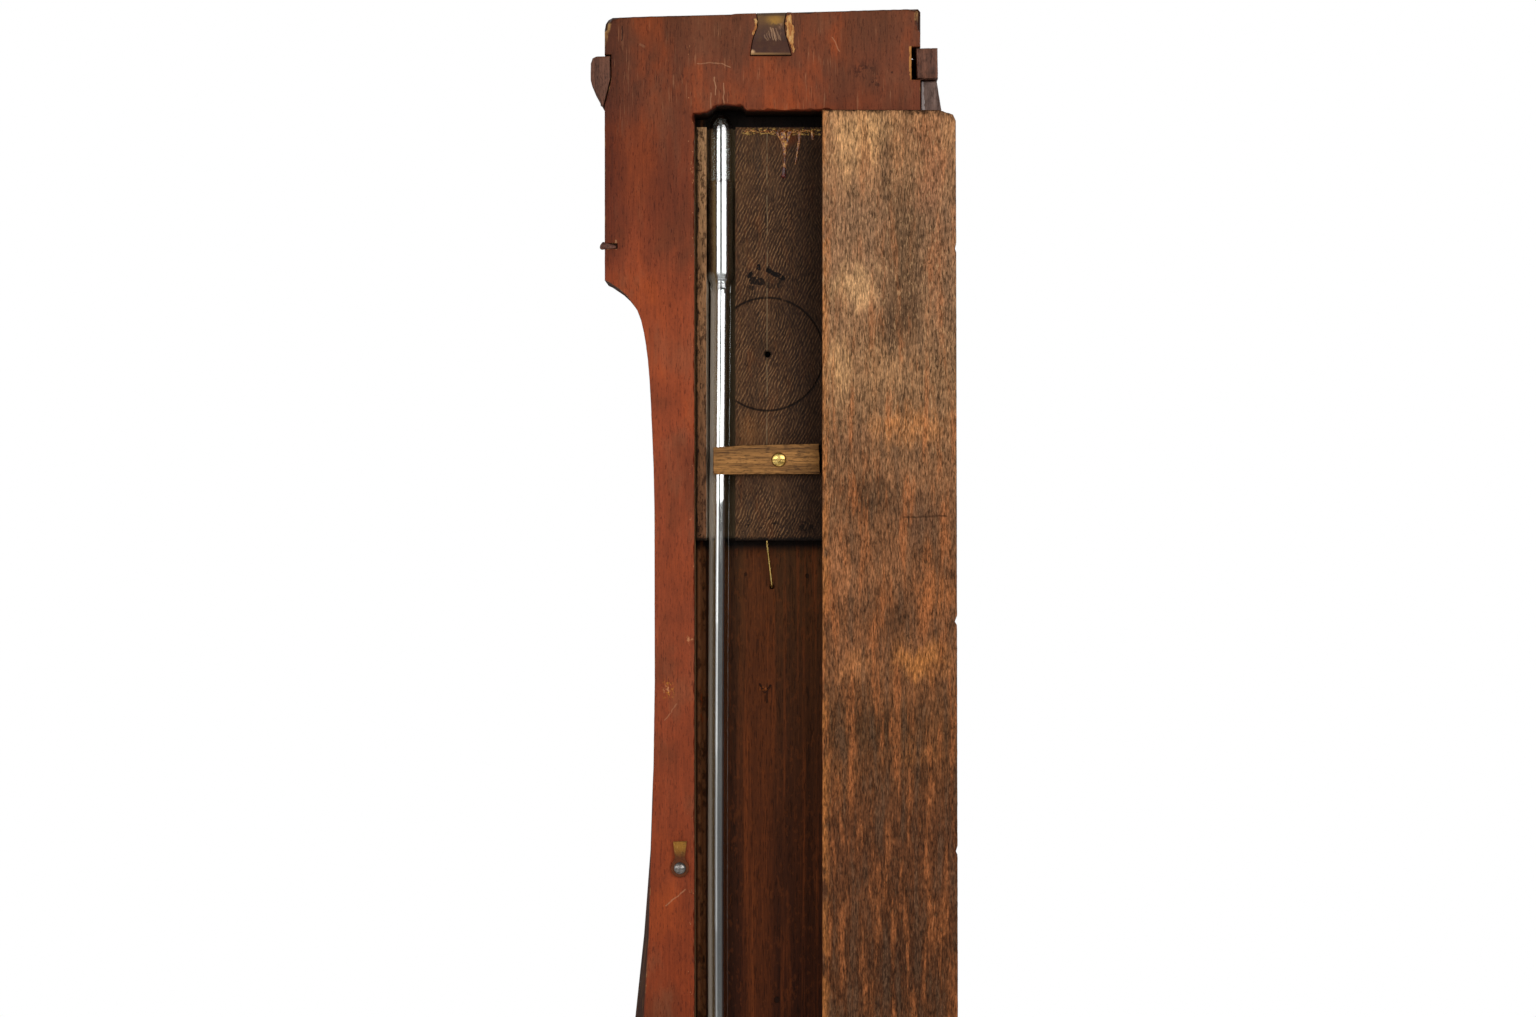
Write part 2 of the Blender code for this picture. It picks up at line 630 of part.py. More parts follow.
def make_float():
    """Float and counterweight on their threads, either side of the wheel."""
    thread_r = 0.2
    level = MERCURY_CUP_TOP + GAP
    body = [(0, level), (3.4, level), (3.4, level + 12), (1.2, level + 14), (0, level + 14)]
    floater = turned("float", body, (SHORT_X, TUBE_Y, 0), "iron", axis="Z", segments=20)
    low = DIAL_Z - 44.0
    weight_body = [(0, low), (2.0, low), (2.4, low + 1), (2.4, low + 12), (1.0, low + 14)]
    weight_body += [(0, low + 14)]
    weight = turned("counterweight", weight_body, (-SHORT_X, TUBE_Y, 0), "brass", axis="Z")
    make_float_thread(level + 14 + GAP, low + 14 + GAP, thread_r)
    pivot("float_guide", SHORT_X, TUBE_Y, MERCURY_CUP_TOP, [floater])
    pivot("counterweight_guide", -SHORT_X, TUBE_Y, low, [weight])


def make_float_thread(float_end, weight_end, radius):
    """One silk thread from the float up over the wheel and down to the counterweight."""
    hub = Vector((0, TUBE_Y, DIAL_Z))
    sides = [Vector((math.cos(a), 0, math.sin(a))) for a in arc_angles(0.0, math.pi, 12)]
    loop = [(hub + WHEEL_R * side, side, radius) for side in sides]
    start = Vector((SHORT_X, TUBE_Y, float_end))
    finish = Vector((-SHORT_X, TUBE_Y, weight_end))
    stations = [(start, sides[0], 0), (start, sides[0], radius), *loop]
    stations += [(finish, sides[-1], radius), (finish, sides[-1], 0)]
    swept("float_thread", stations, "thread", segments=8)


def arc_angles(start, end, count):
    return [start + (end - start) * i / count for i in range(count + 1)]


def make_clamps():
    """Wooden crosspieces over the tube, each held by one brass screw."""
    lower_z = CLAMP_Z["lower"]
    rest = block(
        "tube_rest_lower", (-27.0, 27.0), (INNER_BACK, INNER_FRONT), (lower_z - 9, lower_z + 9),
        "inner_wood",
    )
    groove = block(
        "rest_groove", (GROOVE_RIGHT, GROOVE_LEFT), (0.0, GROOVE_FLOOR), (-900.0, -300.0), "iron"
    )
    cut(rest, groove, screw_hole("rest_hole", CLAMP_SCREW_X["lower"], lower_z, 0.0, -30.0))
    for label, z in CLAMP_Z.items():
        bar = [(21.0, z - 6.2), (21.0, z + 5.3), (8.0, z + 6.2), (-24.0, z + 6.9), (-24.6, z - 6.0)]
        clamp = plate(f"tube_clamp_{label}", bar, -6.0, -10.7, "inner_wood")
        x = CLAMP_SCREW_X[label]
        seat = [(0, 0.0), (3.1, 0.0), (3.1, -6.7), (1.5, -8.2), (1.5, -20.0), (0, -20.0)]
        cut(clamp, turned(f"clamp_seat_{label}", seat, (x, 0, z), "iron", segments=24))
        screw = [(0, -5.5), (2.0, -5.6), (2.75, -6.0), (2.75, -6.6), (1.2, -8.1), (1.2, -17.5)]
        screw += [(0, -19.0)]
        head = turned(f"clamp_screw_{label}", screw, (x, 0, z), "brass", segments=24)
        slot = block(f"driver_slot_{label}", (x - 4, x + 4), (-4, -6.1), (z - 0.35, z + 0.35), "iron")
        cut(head, slot)


# Dial, hands and set work


def hand_outline(length, tail, width):
    """A slim pointer up the Z axis, with a crescent-weighted tail."""
    right = [(width, 4.5), (width * 0.6, length * 0.55), (width * 1.5, length * 0.62)]
    right += [(width * 0.5, length * 0.72), (0.35, length)]
    left = [(-x, z) for x, z in reversed(right)]
    tail_left = [(-width, -4.5), (-width * 0.6, -tail * 0.6), (-width * 2.0, -tail)]
    tail_right = [(-x, z) for x, z in reversed(tail_left)]
    return right + left + tail_left + tail_right


def make_hand(name, length, tail, width, back, thick, bore, boss_r, turn, finish):
    hand = plate(name, hand_outline(length, tail, width), back, back - thick, finish)
    shape = [(0, back + 0.6), (boss_r, back + 0.6), (boss_r, back - thick - 0.2)]
    shape += [(0, back - thick - 0.2)]
    boss = turned(f"{name}_boss", shape, (0, 0, 0), finish, segments=24)
    hole = rod(f"{name}_bore", bore, (0, 0, 0), back + 3, back - 5, finish)
    join(hand, boss)
    cut(hand, hole)
    for piece in (hand, boss, hole):
        piece.rotation_euler = (0, turn, 0)
        piece.location = Vector((0, 0, DIAL_Z)) * MM
    return hand


def groove_wheel(y, groove_r, rim_r, bore, half):
    """Profile of a grooved wheel, centred on y."""
    return [
        (bore, y + half), (rim_r, y + half), (rim_r, y + half * 0.7), (groove_r, y),
        (rim_r, y - half * 0.7), (rim_r, y - half), (bore, y - half),
    ]


def make_pointer_work():
    dial = (0, 0, DIAL_Z)
    arbor = turned(
        "pointer_arbor",
        [(0, -7.6), (1.0, -7.8), (1.0, -36.6), (0, -36.8)],
        dial,
        "steel",
        segments=16,
    )
    wheel_shape = groove_wheel(TUBE_Y, WHEEL_R - 0.5, WHEEL_R + 1.4, 1.3, 1.5)
    wheel = turned("float_pulley", wheel_shape, dial, "brass", segments=40)
    pointer = make_hand(
        "pointer", 93.0, 30.0, 2.2, -35.6, 0.7, 1.3, 3.4, POINTER_TURN, "blued_steel"
    )
    pivot("pointer_axis", 0, 0, DIAL_Z, [arbor, wheel, pointer])

    arm, foot = (-8.4, -9.9), (-21.9, -23.4)
    section = [(arm[0], -752.0), (arm[0], -700.0), (foot[0], -700.0), (foot[0], -686.0)]
    section += [(foot[1], -686.0), (foot[1], -701.5), (arm[1], -701.5), (arm[1], -752.0)]
    cock = bar_profile("arbor_cock", section, [(-8.0, 8.0)] * len(section), "brass")
    cut(cock, rod("cock_bearing", 1.3, dial, -5.0, -12.0, "brass"))
    cut(cock, screw_hole("cock_hole_foot", 0.0, COCK_SCREW_Z, -15.0, -30.0))
    shape = [(0, -20.2), (1.8, -20.5), (2.3, -21.6), (1.2, -21.6), (1.2, -29.6), (0, -31.0)]
    turned("cock_screw", shape, (0, 0, COCK_SCREW_Z), "steel", segments=16)


def make_set_work():
    """The set hand, its sleeve and wheel, the cord, and the knob below the dial."""
    dial = (0, 0, DIAL_Z)
    groove = SLEEVE_CORD_R - 0.7
    sleeve_shape = [(1.4, -24.4), (groove + 1.3, -24.4), (groove + 1.3, -24.9), (groove, CORD_Y)]
    sleeve_shape += [(groove + 1.3, -27.0), (groove + 1.3, -27.4), (2.3, -27.4), (2.3, -34.6)]
    sleeve_shape += [(1.4, -34.6)]
    sleeve = turned("set_sleeve", sleeve_shape, dial, "brass", segments=32)
    hand = make_hand("set_hand", 84.0, 22.0, 1.8, -33.7, 0.6, 2.6, 4.6, SET_TURN, "brass")
    pivot("set_axis", 0, 0, DIAL_Z, [sleeve, hand])

    low = (0, 0, DIAL_Z - SET_DROP)
    groove = SPINDLE_CORD_R - 0.7
    shape = [(0, -24.4), (groove + 1.3, -24.4), (groove + 1.3, -24.9), (groove, CORD_Y)]
    shape += [(groove + 1.3, -27.0), (groove + 1.3, -27.4), (1.6, -27.4), (1.6, -46.0)]
    shape += [(0, -46.0)]
    spindle = turned("set_spindle", shape, low, "brass", segments=24)
    knob_shape = [(0, -46.4), (1.9, -46.4), (1.9, -39.2), (7.4, -39.2), (7.4, -40.6)]
    knob_shape += [(3.6, -42.2), (3.4, -44.4), (5.9, -46.6), (6.9, -49.6), (5.9, -52.4)]
    knob_shape += [(3.2, -53.8), (0, -54.2)]
    knob = turned("set_knob", knob_shape, low, "bone", segments=36)
    pivot("knob_axis", 0, 0, DIAL_Z - SET_DROP, [spindle, knob])
    make_set_cord()


def make_set_cord():
    """A closed loop of gut round both grooved wheels."""
    lean = math.asin((SLEEVE_CORD_R - SPINDLE_CORD_R) / SET_DROP)
    stations = []
    for centre_z, radius, start, end in (
        (DIAL_Z, SLEEVE_CORD_R, -lean, math.pi + lean),
        (DIAL_Z - SET_DROP, SPINDLE_CORD_R, math.pi + lean, 2 * math.pi - lean),
    ):
        for i in range(13):
            a = start + (end - start) * i / 12
            side = Vector((math.cos(a), 0, math.sin(a)))
            stations.append((Vector((0, CORD_Y, centre_z)) + radius * side, side, 0.35))
    swept("set_cord", stations, "thread", segments=8, closed=True)


def make_dial_and_bezel():
    dial = (0, 0, DIAL_Z)
    disc = [(2.8, -31.5), (DIAL_R, -31.5), (DIAL_R, -32.7), (2.8, -32.7)]
    turned("dial", disc, dial, "silvered_brass", segments=72)
    reveal = [(101.6, -33.0), (105.6, -33.0), (105.6, -38.7), (102.8, -38.7)]
    turned("dial_reveal", reveal, dial, "silvered_brass", segments=72)
    ring = [(99.0, -39.2), (112.6, -39.2), (112.8, -41.2), (111.0, -43.2), (108.0, -46.6)]
    ring += [(104.4, -48.4), (101.6, -48.0), (99.6, -46.4), (99.0, -45.2), (102.6, -44.8)]
    ring += [(102.6, -42.2), (99.0, -41.8)]
    bezel = turned("bezel", ring, dial, "brass", segments=72)
    arm = block(
        "bezel_arm", (BEZEL_AXIS_X, -108.5), (-39.3, -41.0), (DIAL_Z - 7.7, DIAL_Z + 7.7), "brass"
    )
    axis = (BEZEL_AXIS_X, BEZEL_AXIS_Y, DIAL_Z)
    barrel = rod("bezel_barrel", 2.0, axis, 7.7, -7.7, "brass", axis="Z")
    bore = rod("bezel_bore", 1.1, axis, 12.0, -12.0, "brass", axis="Z")
    join(bezel, arm, barrel)
    cut(bezel, bore)
    glass_r, glass_y, rise = 102.2, -42.5, 6.0
    front = [(glass_r * i / 6, glass_y - 2.0 - rise * (1 - (i / 6) ** 2)) for i in range(7)]
    inner = [(glass_r * i / 6, glass_y - rise * (1 - (i / 6) ** 2)) for i in range(7)]
    front[6] = (glass_r, glass_y - 2.0)
    glass = turned("bezel_glass", front + inner[::-1], dial, "glass", segments=64)
    pivot("bezel_axis", BEZEL_AXIS_X, BEZEL_AXIS_Y, DIAL_Z, [bezel, glass])

    leaf = block(
        "bezel_hinge_leaf", (-123.5, BEZEL_AXIS_X), (-39.2, -40.4), (DIAL_Z - 18, DIAL_Z + 18),
        "brass",
    )
    for label, high, low in (("top", 18.0, 8.0), ("bottom", -8.0, -18.0)):
        shape = [(0, high), (2.0, high), (2.0, low), (0, low)]
        join(leaf, turned(f"leaf_barrel_{label}", shape, axis, "brass", axis="Z", segments=20))
    gap_tool = block(
        "leaf_gap", (-120.0, -110.0), (-30.0, -50.0), (DIAL_Z - 8, DIAL_Z + 8), "brass"
    )
    leaf_bore = rod("leaf_bore", 1.1, axis, 25.0, -25.0, "brass", axis="Z")
    cut(leaf, gap_tool, leaf_bore)
    rod("bezel_hinge_pin", 0.8, axis, 18.6, -18.6, "steel", axis="Z", segments=14)


# Thermometer, hygrometer and level


def make_thermometer():
    edge = BOX_HALF - GAP
    top, bottom = BOX_TOP - GAP, BOX_BOTTOM + GAP
    box = block("thermometer_box", (-edge, edge), (BOX_FLOOR - GAP, -42.0), (bottom, top), "mahogany")
    inside = (-edge + 3.5, edge - 3.5)
    hollow = block(
        "box_hollow", inside, (BOX_FLOOR - 2.6, -50.0), (bottom + 3.5, top - 3.5), "mahogany"
    )
    rebate = block(
        "box_rebate", (-edge + 2, edge - 2), (-39.6, -50.0), (bottom + 2, top - 2), "mahogany"
    )
    cut(box, hollow, rebate)
    scale_zs = (bottom + 8, top - 8)
    block("thermometer_scale", (-15.5, 15.5), (-31.9, -32.9), scale_zs, "silvered_brass")
    centre = (0, -36.2, 0)
    low = bottom + 22
    shape = [(0, low - 4.0)] + [(3.0 * math.sin(a), low - 4.0 + 3.0 * (1 - math.cos(a)))
                                for a in (0.6, 1.2, 1.8, 2.4)]
    shape += [(1.6, low + 3.0), (1.6, top - 24), (0.8, top - 22.6), (0, top - 22.4)]
    turned("thermometer_tube", shape, centre, "glass", axis="Z", segments=20)
    inner = (-edge + 2 + GAP, edge - 2 - GAP)
    block(
        "thermometer_glass", inner, (-39.9, -41.4), (bottom + 2 + GAP, top - 2 - GAP), "glass"
    )


def make_lock_pin():
    """Brass wire from the inner board's edge, bent forward into the thermometer's hole."""
    points = [(-1.9, -17.0, -209.0), (-1.9, -17.0, -215.5), (-3.0, -19.2, -224.5)]
    points += [(-3.9, -21.4, -232.6), (-4.0, -22.6, -234.0), (-4.0, -28.0, -234.0)]
    curve = bpy.data.curves.new("thermometer_pin", "CURVE")
    curve.dimensions = "3D"
    spline = curve.splines.new("POLY")
    spline.points.add(len(points) - 1)
    for point, place in zip(spline.points, points):
        point.co = (*(Vector(place) * MM), 1.0)
    curve.bevel_depth = 0.5 * MM
    curve.bevel_resolution = 2
    curve.use_fill_caps = True
    curve.materials.append(material("brass"))
    pin = bpy.data.objects.new("thermometer_pin", curve)
    bpy.context.scene.collection.objects.link(pin)


def make_hygrometer():
    centre = (HYGRO_X, 0, HYGRO_Z)
    disc = [(0, -34.6), (24.4, -34.6), (24.4, -35.4), (0, -35.4)]
    turned("hygrometer_dial", disc, centre, "silvered_brass", segments=48)
    ring = [(22.2, -39.2), (28.0, -39.2), (28.2, -40.4), (26.4, -43.2), (24.0, -44.2)]
    ring += [(22.4, -43.4), (22.2, -42.6), (23.8, -42.4), (23.8, -40.4), (22.2, -40.2)]
    turned("hygrometer_bezel", ring, centre, "brass", segments=48)
    glass = [(0, -40.7), (23.4, -40.7), (23.4, -42.1), (0, -42.1)]
    turned("hygrometer_glass", glass, centre, "glass", segments=48)
    outline = [(0.5, 17.5), (-0.5, 17.5), (-1.3, 2.0), (-0.8, -8.0), (0.8, -8.0), (1.3, 2.0)]
    needle = plate("hygrometer_needle", outline, -37.2, -37.7, "blued_steel")
    needle.rotation_euler = (0, math.radians(-24), 0)
    needle.location = Vector((HYGRO_X, 0, HYGRO_Z)) * MM
    boss = [(0, -35.8), (1.9, -35.8), (1.9, -38.2), (0, -38.4)]
    join(needle, turned("needle_boss", boss, centre, "blued_steel", segments=16))


def make_level():
    outline = arc(34.0, LEVEL_Z, 7.5, 90, -90, 10) + arc(-34.0, LEVEL_Z, 7.5, 270, 90, 10)
    cover = plate("level_plate", outline, -39.1, -40.1, "brass")
    cut(
        cover,
        block("level_window", (-21, 21), (-30, -50), (LEVEL_Z - 3, LEVEL_Z + 3), "brass"),
    )
    shape = [(0, -26.5), (1.8, -26.2), (3.0, -25.0), (3.0, 25.0), (1.8, 26.2), (0, 26.5)]
    vial = turned("level_vial", shape, (0, 0, 0), "glass", axis="Z", segments=20)
    vial.rotation_euler = (0, math.pi / 2, 0)
    vial.location = Vector((0, -35.4, LEVEL_Z)) * MM


def main():
    clear_scene()
    make_case()
    make_inner_board()
    make_mouldings()
    make_hanging_plate()
    make_nail()
    leaves = [make_door_hinge(label, z) for label, z in zip(("upper", "lower"), HINGE_Z)]
    pivot("door_axis", DOOR_AXIS_X, DOOR_AXIS_Y, 0, [make_door(), *leaves])
    for label, z in BUTTON_Z.items():
        pivot(f"button_axis_{label}", BUTTON_X, 0, z, [make_turn_button(label, z)])
    make_tube()
    make_mercury()
    make_float()
    make_clamps()
    make_pointer_work()
    make_set_work()
    make_dial_and_bezel()
    make_thermometer()
    make_lock_pin()
    make_hygrometer()
    make_level()


main()
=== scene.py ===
"""The looks of an antique wheel barometer, seen from the back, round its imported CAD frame."""

import json
import math

import bmesh
import bpy
import numpy as np
from mathutils import Euler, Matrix, Vector, geometry, noise


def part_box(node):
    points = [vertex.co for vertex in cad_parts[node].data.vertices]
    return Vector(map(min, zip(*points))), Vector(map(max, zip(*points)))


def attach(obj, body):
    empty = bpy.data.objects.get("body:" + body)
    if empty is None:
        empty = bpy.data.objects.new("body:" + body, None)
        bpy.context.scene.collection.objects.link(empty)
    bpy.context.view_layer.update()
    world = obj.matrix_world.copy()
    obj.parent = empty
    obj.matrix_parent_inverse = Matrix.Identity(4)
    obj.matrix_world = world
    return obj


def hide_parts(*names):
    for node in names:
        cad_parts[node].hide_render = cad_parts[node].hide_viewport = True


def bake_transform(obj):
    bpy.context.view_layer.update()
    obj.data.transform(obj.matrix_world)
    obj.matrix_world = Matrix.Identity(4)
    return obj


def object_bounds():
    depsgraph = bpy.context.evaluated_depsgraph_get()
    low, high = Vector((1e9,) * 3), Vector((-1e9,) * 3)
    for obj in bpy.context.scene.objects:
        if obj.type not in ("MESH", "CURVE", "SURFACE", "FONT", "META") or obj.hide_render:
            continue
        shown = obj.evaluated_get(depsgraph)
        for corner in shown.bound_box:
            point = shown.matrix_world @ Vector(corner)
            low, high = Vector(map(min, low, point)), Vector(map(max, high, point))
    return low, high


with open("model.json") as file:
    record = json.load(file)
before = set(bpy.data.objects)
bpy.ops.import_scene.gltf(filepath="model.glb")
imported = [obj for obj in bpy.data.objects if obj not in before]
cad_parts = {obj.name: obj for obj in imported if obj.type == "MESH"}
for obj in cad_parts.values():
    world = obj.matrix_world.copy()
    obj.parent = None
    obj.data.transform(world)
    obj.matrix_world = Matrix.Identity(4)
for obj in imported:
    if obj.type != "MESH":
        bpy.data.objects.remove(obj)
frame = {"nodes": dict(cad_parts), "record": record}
cad_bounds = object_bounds()
NODES = frame["nodes"]
BODY_OF = {n: b for b, names in frame["record"]["behaviour"]["bodies"].items() for n in names}
MM = 0.001


def middle_of(node):
    """The middle of a CAD node's box, in metres."""
    low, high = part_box(node)
    return (low + high) / 2


# ---------------------------------------------------------------- shader graphs


def rgb(code):
    """An sRGB hex colour as linear RGBA."""
    parts = [int(code[i : i + 2], 16) / 255 for i in (1, 3, 5)]
    return (*(c / 12.92 if c <= 0.04045 else ((c + 0.055) / 1.055) ** 2.4 for c in parts), 1.0)


class Wire:
    """A node's output that takes part in arithmetic; each operator adds a math node."""

    def __init__(self, graph, socket):
        self.graph, self.socket = graph, socket

    def __add__(self, other):
        return self.graph.math("ADD", self, other)

    def __mul__(self, other):
        return self.graph.math("MULTIPLY", self, other)

    def __sub__(self, other):
        return self.graph.math("SUBTRACT", self, other)

    def __rsub__(self, other):
        return self.graph.math("SUBTRACT", other, self)

    def __truediv__(self, other):
        return self.graph.math("DIVIDE", self, other)

    def __abs__(self):
        return self.graph.math("ABSOLUTE", self)

    __radd__, __rmul__ = __add__, __mul__


class Graph:
    """A material's node tree. Lengths in it are millimetres in the row frame."""

    def __init__(self, name):
        self.material = bpy.data.materials.new(name)
        self.material.use_nodes = True
        self.tree = self.material.node_tree
        self.tree.nodes.clear()
        self.shader = self.tree.nodes.new("ShaderNodeBsdfPrincipled")
        self.output = self.tree.nodes.new("ShaderNodeOutputMaterial")
        self.tree.links.new(self.shader.outputs[0], self.output.inputs["Surface"])
        place = self.tree.nodes.new("ShaderNodeTexCoord").outputs["Object"]
        self.at = self.vector("SCALE", place, scale=1 / MM)
        self.x, self.y, self.z = self.split(self.at)
        self.colour, self.height = None, None

    def feed(self, socket, value):
        if isinstance(value, Wire):
            value = value.socket
        if isinstance(value, bpy.types.NodeSocket):
            self.tree.links.new(value, socket)
        elif isinstance(value, str):
            socket.default_value = rgb(value)
        else:
            socket.default_value = value

    def math(self, operation, *values, clamp=False):
        node = self.tree.nodes.new("ShaderNodeMath")
        node.operation, node.use_clamp = operation, clamp
        for socket, value in zip(node.inputs, values):
            self.feed(socket, value)
        return Wire(self, node.outputs[0])

    def vector(self, operation, *values, scale=None, out=0):
        node = self.tree.nodes.new("ShaderNodeVectorMath")
        node.operation = operation
        for socket, value in zip(node.inputs, values):
            self.feed(socket, value)
        if scale is not None:
            self.feed(node.inputs["Scale"], scale)
        return Wire(self, node.outputs[out])

    def split(self, vector):
        node = self.tree.nodes.new("ShaderNodeSeparateXYZ")
        self.feed(node.inputs[0], vector)
        return [Wire(self, s) for s in node.outputs]

    def join(self, x, y, z):
        node = self.tree.nodes.new("ShaderNodeCombineXYZ")
        for socket, value in zip(node.inputs, (x, y, z)):
            self.feed(socket, value)
        return Wire(self, node.outputs[0])

    def rise(self, value, low, high, start=0.0, end=1.0, smooth=True):
        """Goes from start to end as value goes from low to high."""
        node = self.tree.nodes.new("ShaderNodeMapRange")
        node.interpolation_type = "SMOOTHSTEP" if smooth else "LINEAR"
        for socket, v in zip(node.inputs, (value, low, high, start, end)):
            self.feed(socket, v)
        return Wire(self, node.outputs[0])

    def noise(self, size, stretch=1, detail=3.0, rough=0.55, warp=0.0, shift=0.0):
        """Fractal noise, about 0 to 1, in blotches of that size.

        stretch draws them out: one number along Z, or three, one for each axis.
        """
        if not isinstance(stretch, tuple):
            stretch = (1, 1, stretch)
        squeeze = tuple(1 / (size * s) for s in stretch)
        moved = self.vector("MULTIPLY_ADD", self.at, squeeze, (shift, shift * 0.7, shift * 1.3))
        node = self.tree.nodes.new("ShaderNodeTexNoise")
        for name, value in (("Vector", moved), ("Scale", 1.0), ("Detail", detail),
                            ("Roughness", rough), ("Distortion", warp)):
            self.feed(node.inputs[name], value)
        return self.rise(Wire(self, node.outputs[0]), 0.28, 0.72, smooth=False)

    def mix(self, share, a, b, blend="MIX"):
        node = self.tree.nodes.new("ShaderNodeMix")
        node.data_type, node.blend_type = "RGBA", blend
        self.feed(node.inputs["Factor"], share)
        self.feed(node.inputs[6], a)
        self.feed(node.inputs[7], b)
        return Wire(self, node.outputs[2])

    def ramp(self, value, *stops):
        """Colour along a value; stops are (position 0 to 1, hex colour)."""
        node = self.tree.nodes.new("ShaderNodeValToRGB")
        marks = node.color_ramp.elements
        marks[0].position, marks[0].color = stops[0][0], rgb(stops[0][1])
        marks[1].position, marks[1].color = stops[-1][0], rgb(stops[-1][1])
        for position, colour in stops[1:-1]:
            marks.new(position).color = rgb(colour)
        self.feed(node.inputs[0], value)
        return Wire(self, node.outputs[0])

    def top(self, first, *others):
        """The highest of several values."""
        for other in others:
            first = self.math("MAXIMUM", first, other)
        return first

    def sine(self, value):
        return self.math("SINE", value)

    def band(self, value, middle, half, soft):
        """1 within half of middle, falling to 0 over soft."""
        return self.rise(abs(value - middle), half + soft, half)

    def patch(self, x, z, half_x, half_z, soft):
        return self.band(self.x, x, half_x, soft) * self.band(self.z, z, half_z, soft)

    def blob(self, x, z, radius_x, radius_z, at=None):
        """A soft oval, 1 at its middle."""
        flat = self.vector("MULTIPLY", at or self.at, (1 / radius_x, 0, 1 / radius_z))
        away = self.vector("DISTANCE", flat, (x / radius_x, 0, z / radius_z), out=1)
        return self.rise(away, 1.0, 0.15)

    def flat_at(self, wobble, size, shift=0.0):
        """The position seen square on, with a slow wobble in it."""
        sway = self.noise(size, detail=2.0, shift=shift) * wobble - wobble / 2
        sway_z = self.noise(size, detail=2.0, shift=shift + 7.7) * wobble - wobble / 2
        return self.join(self.x + sway, 0.0, self.z + sway_z)

    def stroke(self, a, b, width, at, soft=0.25):
        """A scratch from a to b, each an (x, z)."""
        start, along = Vector((a[0], 0, a[1])), Vector((b[0] - a[0], 0, b[1] - a[1]))
        off = self.vector("SUBTRACT", at, tuple(start))
        share = self.vector("DOT_PRODUCT", off, tuple(along / along.length_squared), out=1)
        share = self.math("ADD", share, 0.0, clamp=True)
        near = self.vector("SCALE", tuple(along), scale=share)
        gap = self.vector("LENGTH", self.vector("SUBTRACT", off, near), out=1)
        return self.rise(gap, width + soft, width)

    def strokes(self, at, *lines):
        """Several scratches as one mask; each is (x, z, x at its end, z at its end, width, strength)."""
        whole = None
        for x, z, end_x, end_z, width, strength in lines:
            one = self.stroke((x, z), (end_x, end_z), width, at) * strength
            whole = self.top(whole, one) if whole else one
        return whole

    def bump(self, height, depth, strength=1.0):
        """Adds relief: height 0 to 1 stands for depth millimetres."""
        node = self.tree.nodes.new("ShaderNodeBump")
        self.feed(node.inputs["Strength"], strength)
        self.feed(node.inputs["Distance"], depth * MM)
        self.feed(node.inputs["Height"], height)
        if self.height is not None:
            self.feed(node.inputs["Normal"], self.height)
        self.height = node.outputs[0]

    def tint(self, share, tone, blend="MIX"):
        """Mixes a share of a tone into the surface's colour."""
        self.colour = self.mix(share, self.colour, tone, blend)

    def shade(self, share, tone):
        """Multiplies the colour towards a tone."""
        self.tint(share, tone, "MULTIPLY")

    def gain(self, value, low, high):
        """Makes the colour darker or brighter, low times to high times as value goes 0 to 1."""
        times = self.rise(value, 0.0, 1.0, low, high, smooth=False)
        self.colour = self.vector("SCALE", self.colour, scale=times)

    def cast(self, red, green, blue):
        """Multiplies the whole surface's colour by one factor each for red, green and blue."""
        self.colour = self.vector("MULTIPLY", self.colour, (red, green, blue))

    def finish(self, roughness, **fixed):
        """Feeds the shader, and gives the material. In the names of fixed, _ stands for a space."""
        self.feed(self.shader.inputs["Base Color"], self.colour)
        self.feed(self.shader.inputs["Roughness"], roughness)
        for name, value in fixed.items():
            self.feed(self.shader.inputs[name.replace("_", " ")], value)
        if self.height is not None:
            self.feed(self.shader.inputs["Normal"], self.height)
        return self.material


# ---------------------------------------------------------------- meshes


def add(name, bm, material, body, sharp=35.0):
    """Turns a bmesh into a piece that rides on a body. Edges past sharp degrees stay crisp."""
    bmesh.ops.recalc_face_normals(bm, faces=bm.faces)
    bm.normal_update()
    for face in bm.faces:
        face.smooth = True
    for edge in bm.edges:
        edge.smooth = edge.is_manifold and edge.calc_face_angle(0.0) < math.radians(sharp)
    mesh = bpy.data.meshes.new(name)
    bm.to_mesh(mesh)
    bm.free()
    mesh.materials.append(material)
    piece = bpy.data.objects.new(name, mesh)
    bpy.context.scene.collection.objects.link(piece)
    if body:
        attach(piece, body)
    return piece


def welded(node):
    """A CAD node's mesh with its corners joined and its flat areas whole."""
    bm = bmesh.new()
    bm.from_mesh(NODES[node].data)
    bmesh.ops.remove_doubles(bm, verts=bm.verts, dist=2e-6)
    for layer in list(bm.loops.layers.uv):
        bm.loops.layers.uv.remove(layer)
    return bm


def round_edges(piece, width, segments):
    """Softens a piece's edges, as handling does."""
    softened = piece.modifiers.new("worn_edges", "BEVEL")
    softened.width, softened.segments = width * MM, segments
    softened.limit_method, softened.angle_limit = "ANGLE", math.radians(32.0)
    softened.use_clamp_overlap = True
    softened.harden_normals = False


def stand_in(name, node, bm, material, sharp=35.0):
    """A piece in a CAD node's place, on its body."""
    piece = add(name, bm, material, BODY_OF[node], sharp)
    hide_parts(node)
    return piece


def skin(node, material, bevel=0.0, sharp=35.0, segments=2):
    """A smooth-shaded stand-in for a CAD node, with the same shape and softer edges."""
    bm = welded(node)
    bmesh.ops.dissolve_limit(bm, angle_limit=math.radians(0.6), verts=bm.verts, edges=bm.edges)
    piece = stand_in(f"{node}_skin", node, bm, material, sharp)
    if bevel:
        round_edges(piece, bevel, segments)


def hash_noise(x, z, size, seed):
    """Smooth noise, about -1 to 1, at a point given in metres; size in millimetres."""
    at = Vector((x, seed * 0.37, z)) / (size * MM)
    return noise.fractal(at + Vector((seed, seed * 1.7, 0)), 0.6, 2.1, 3)


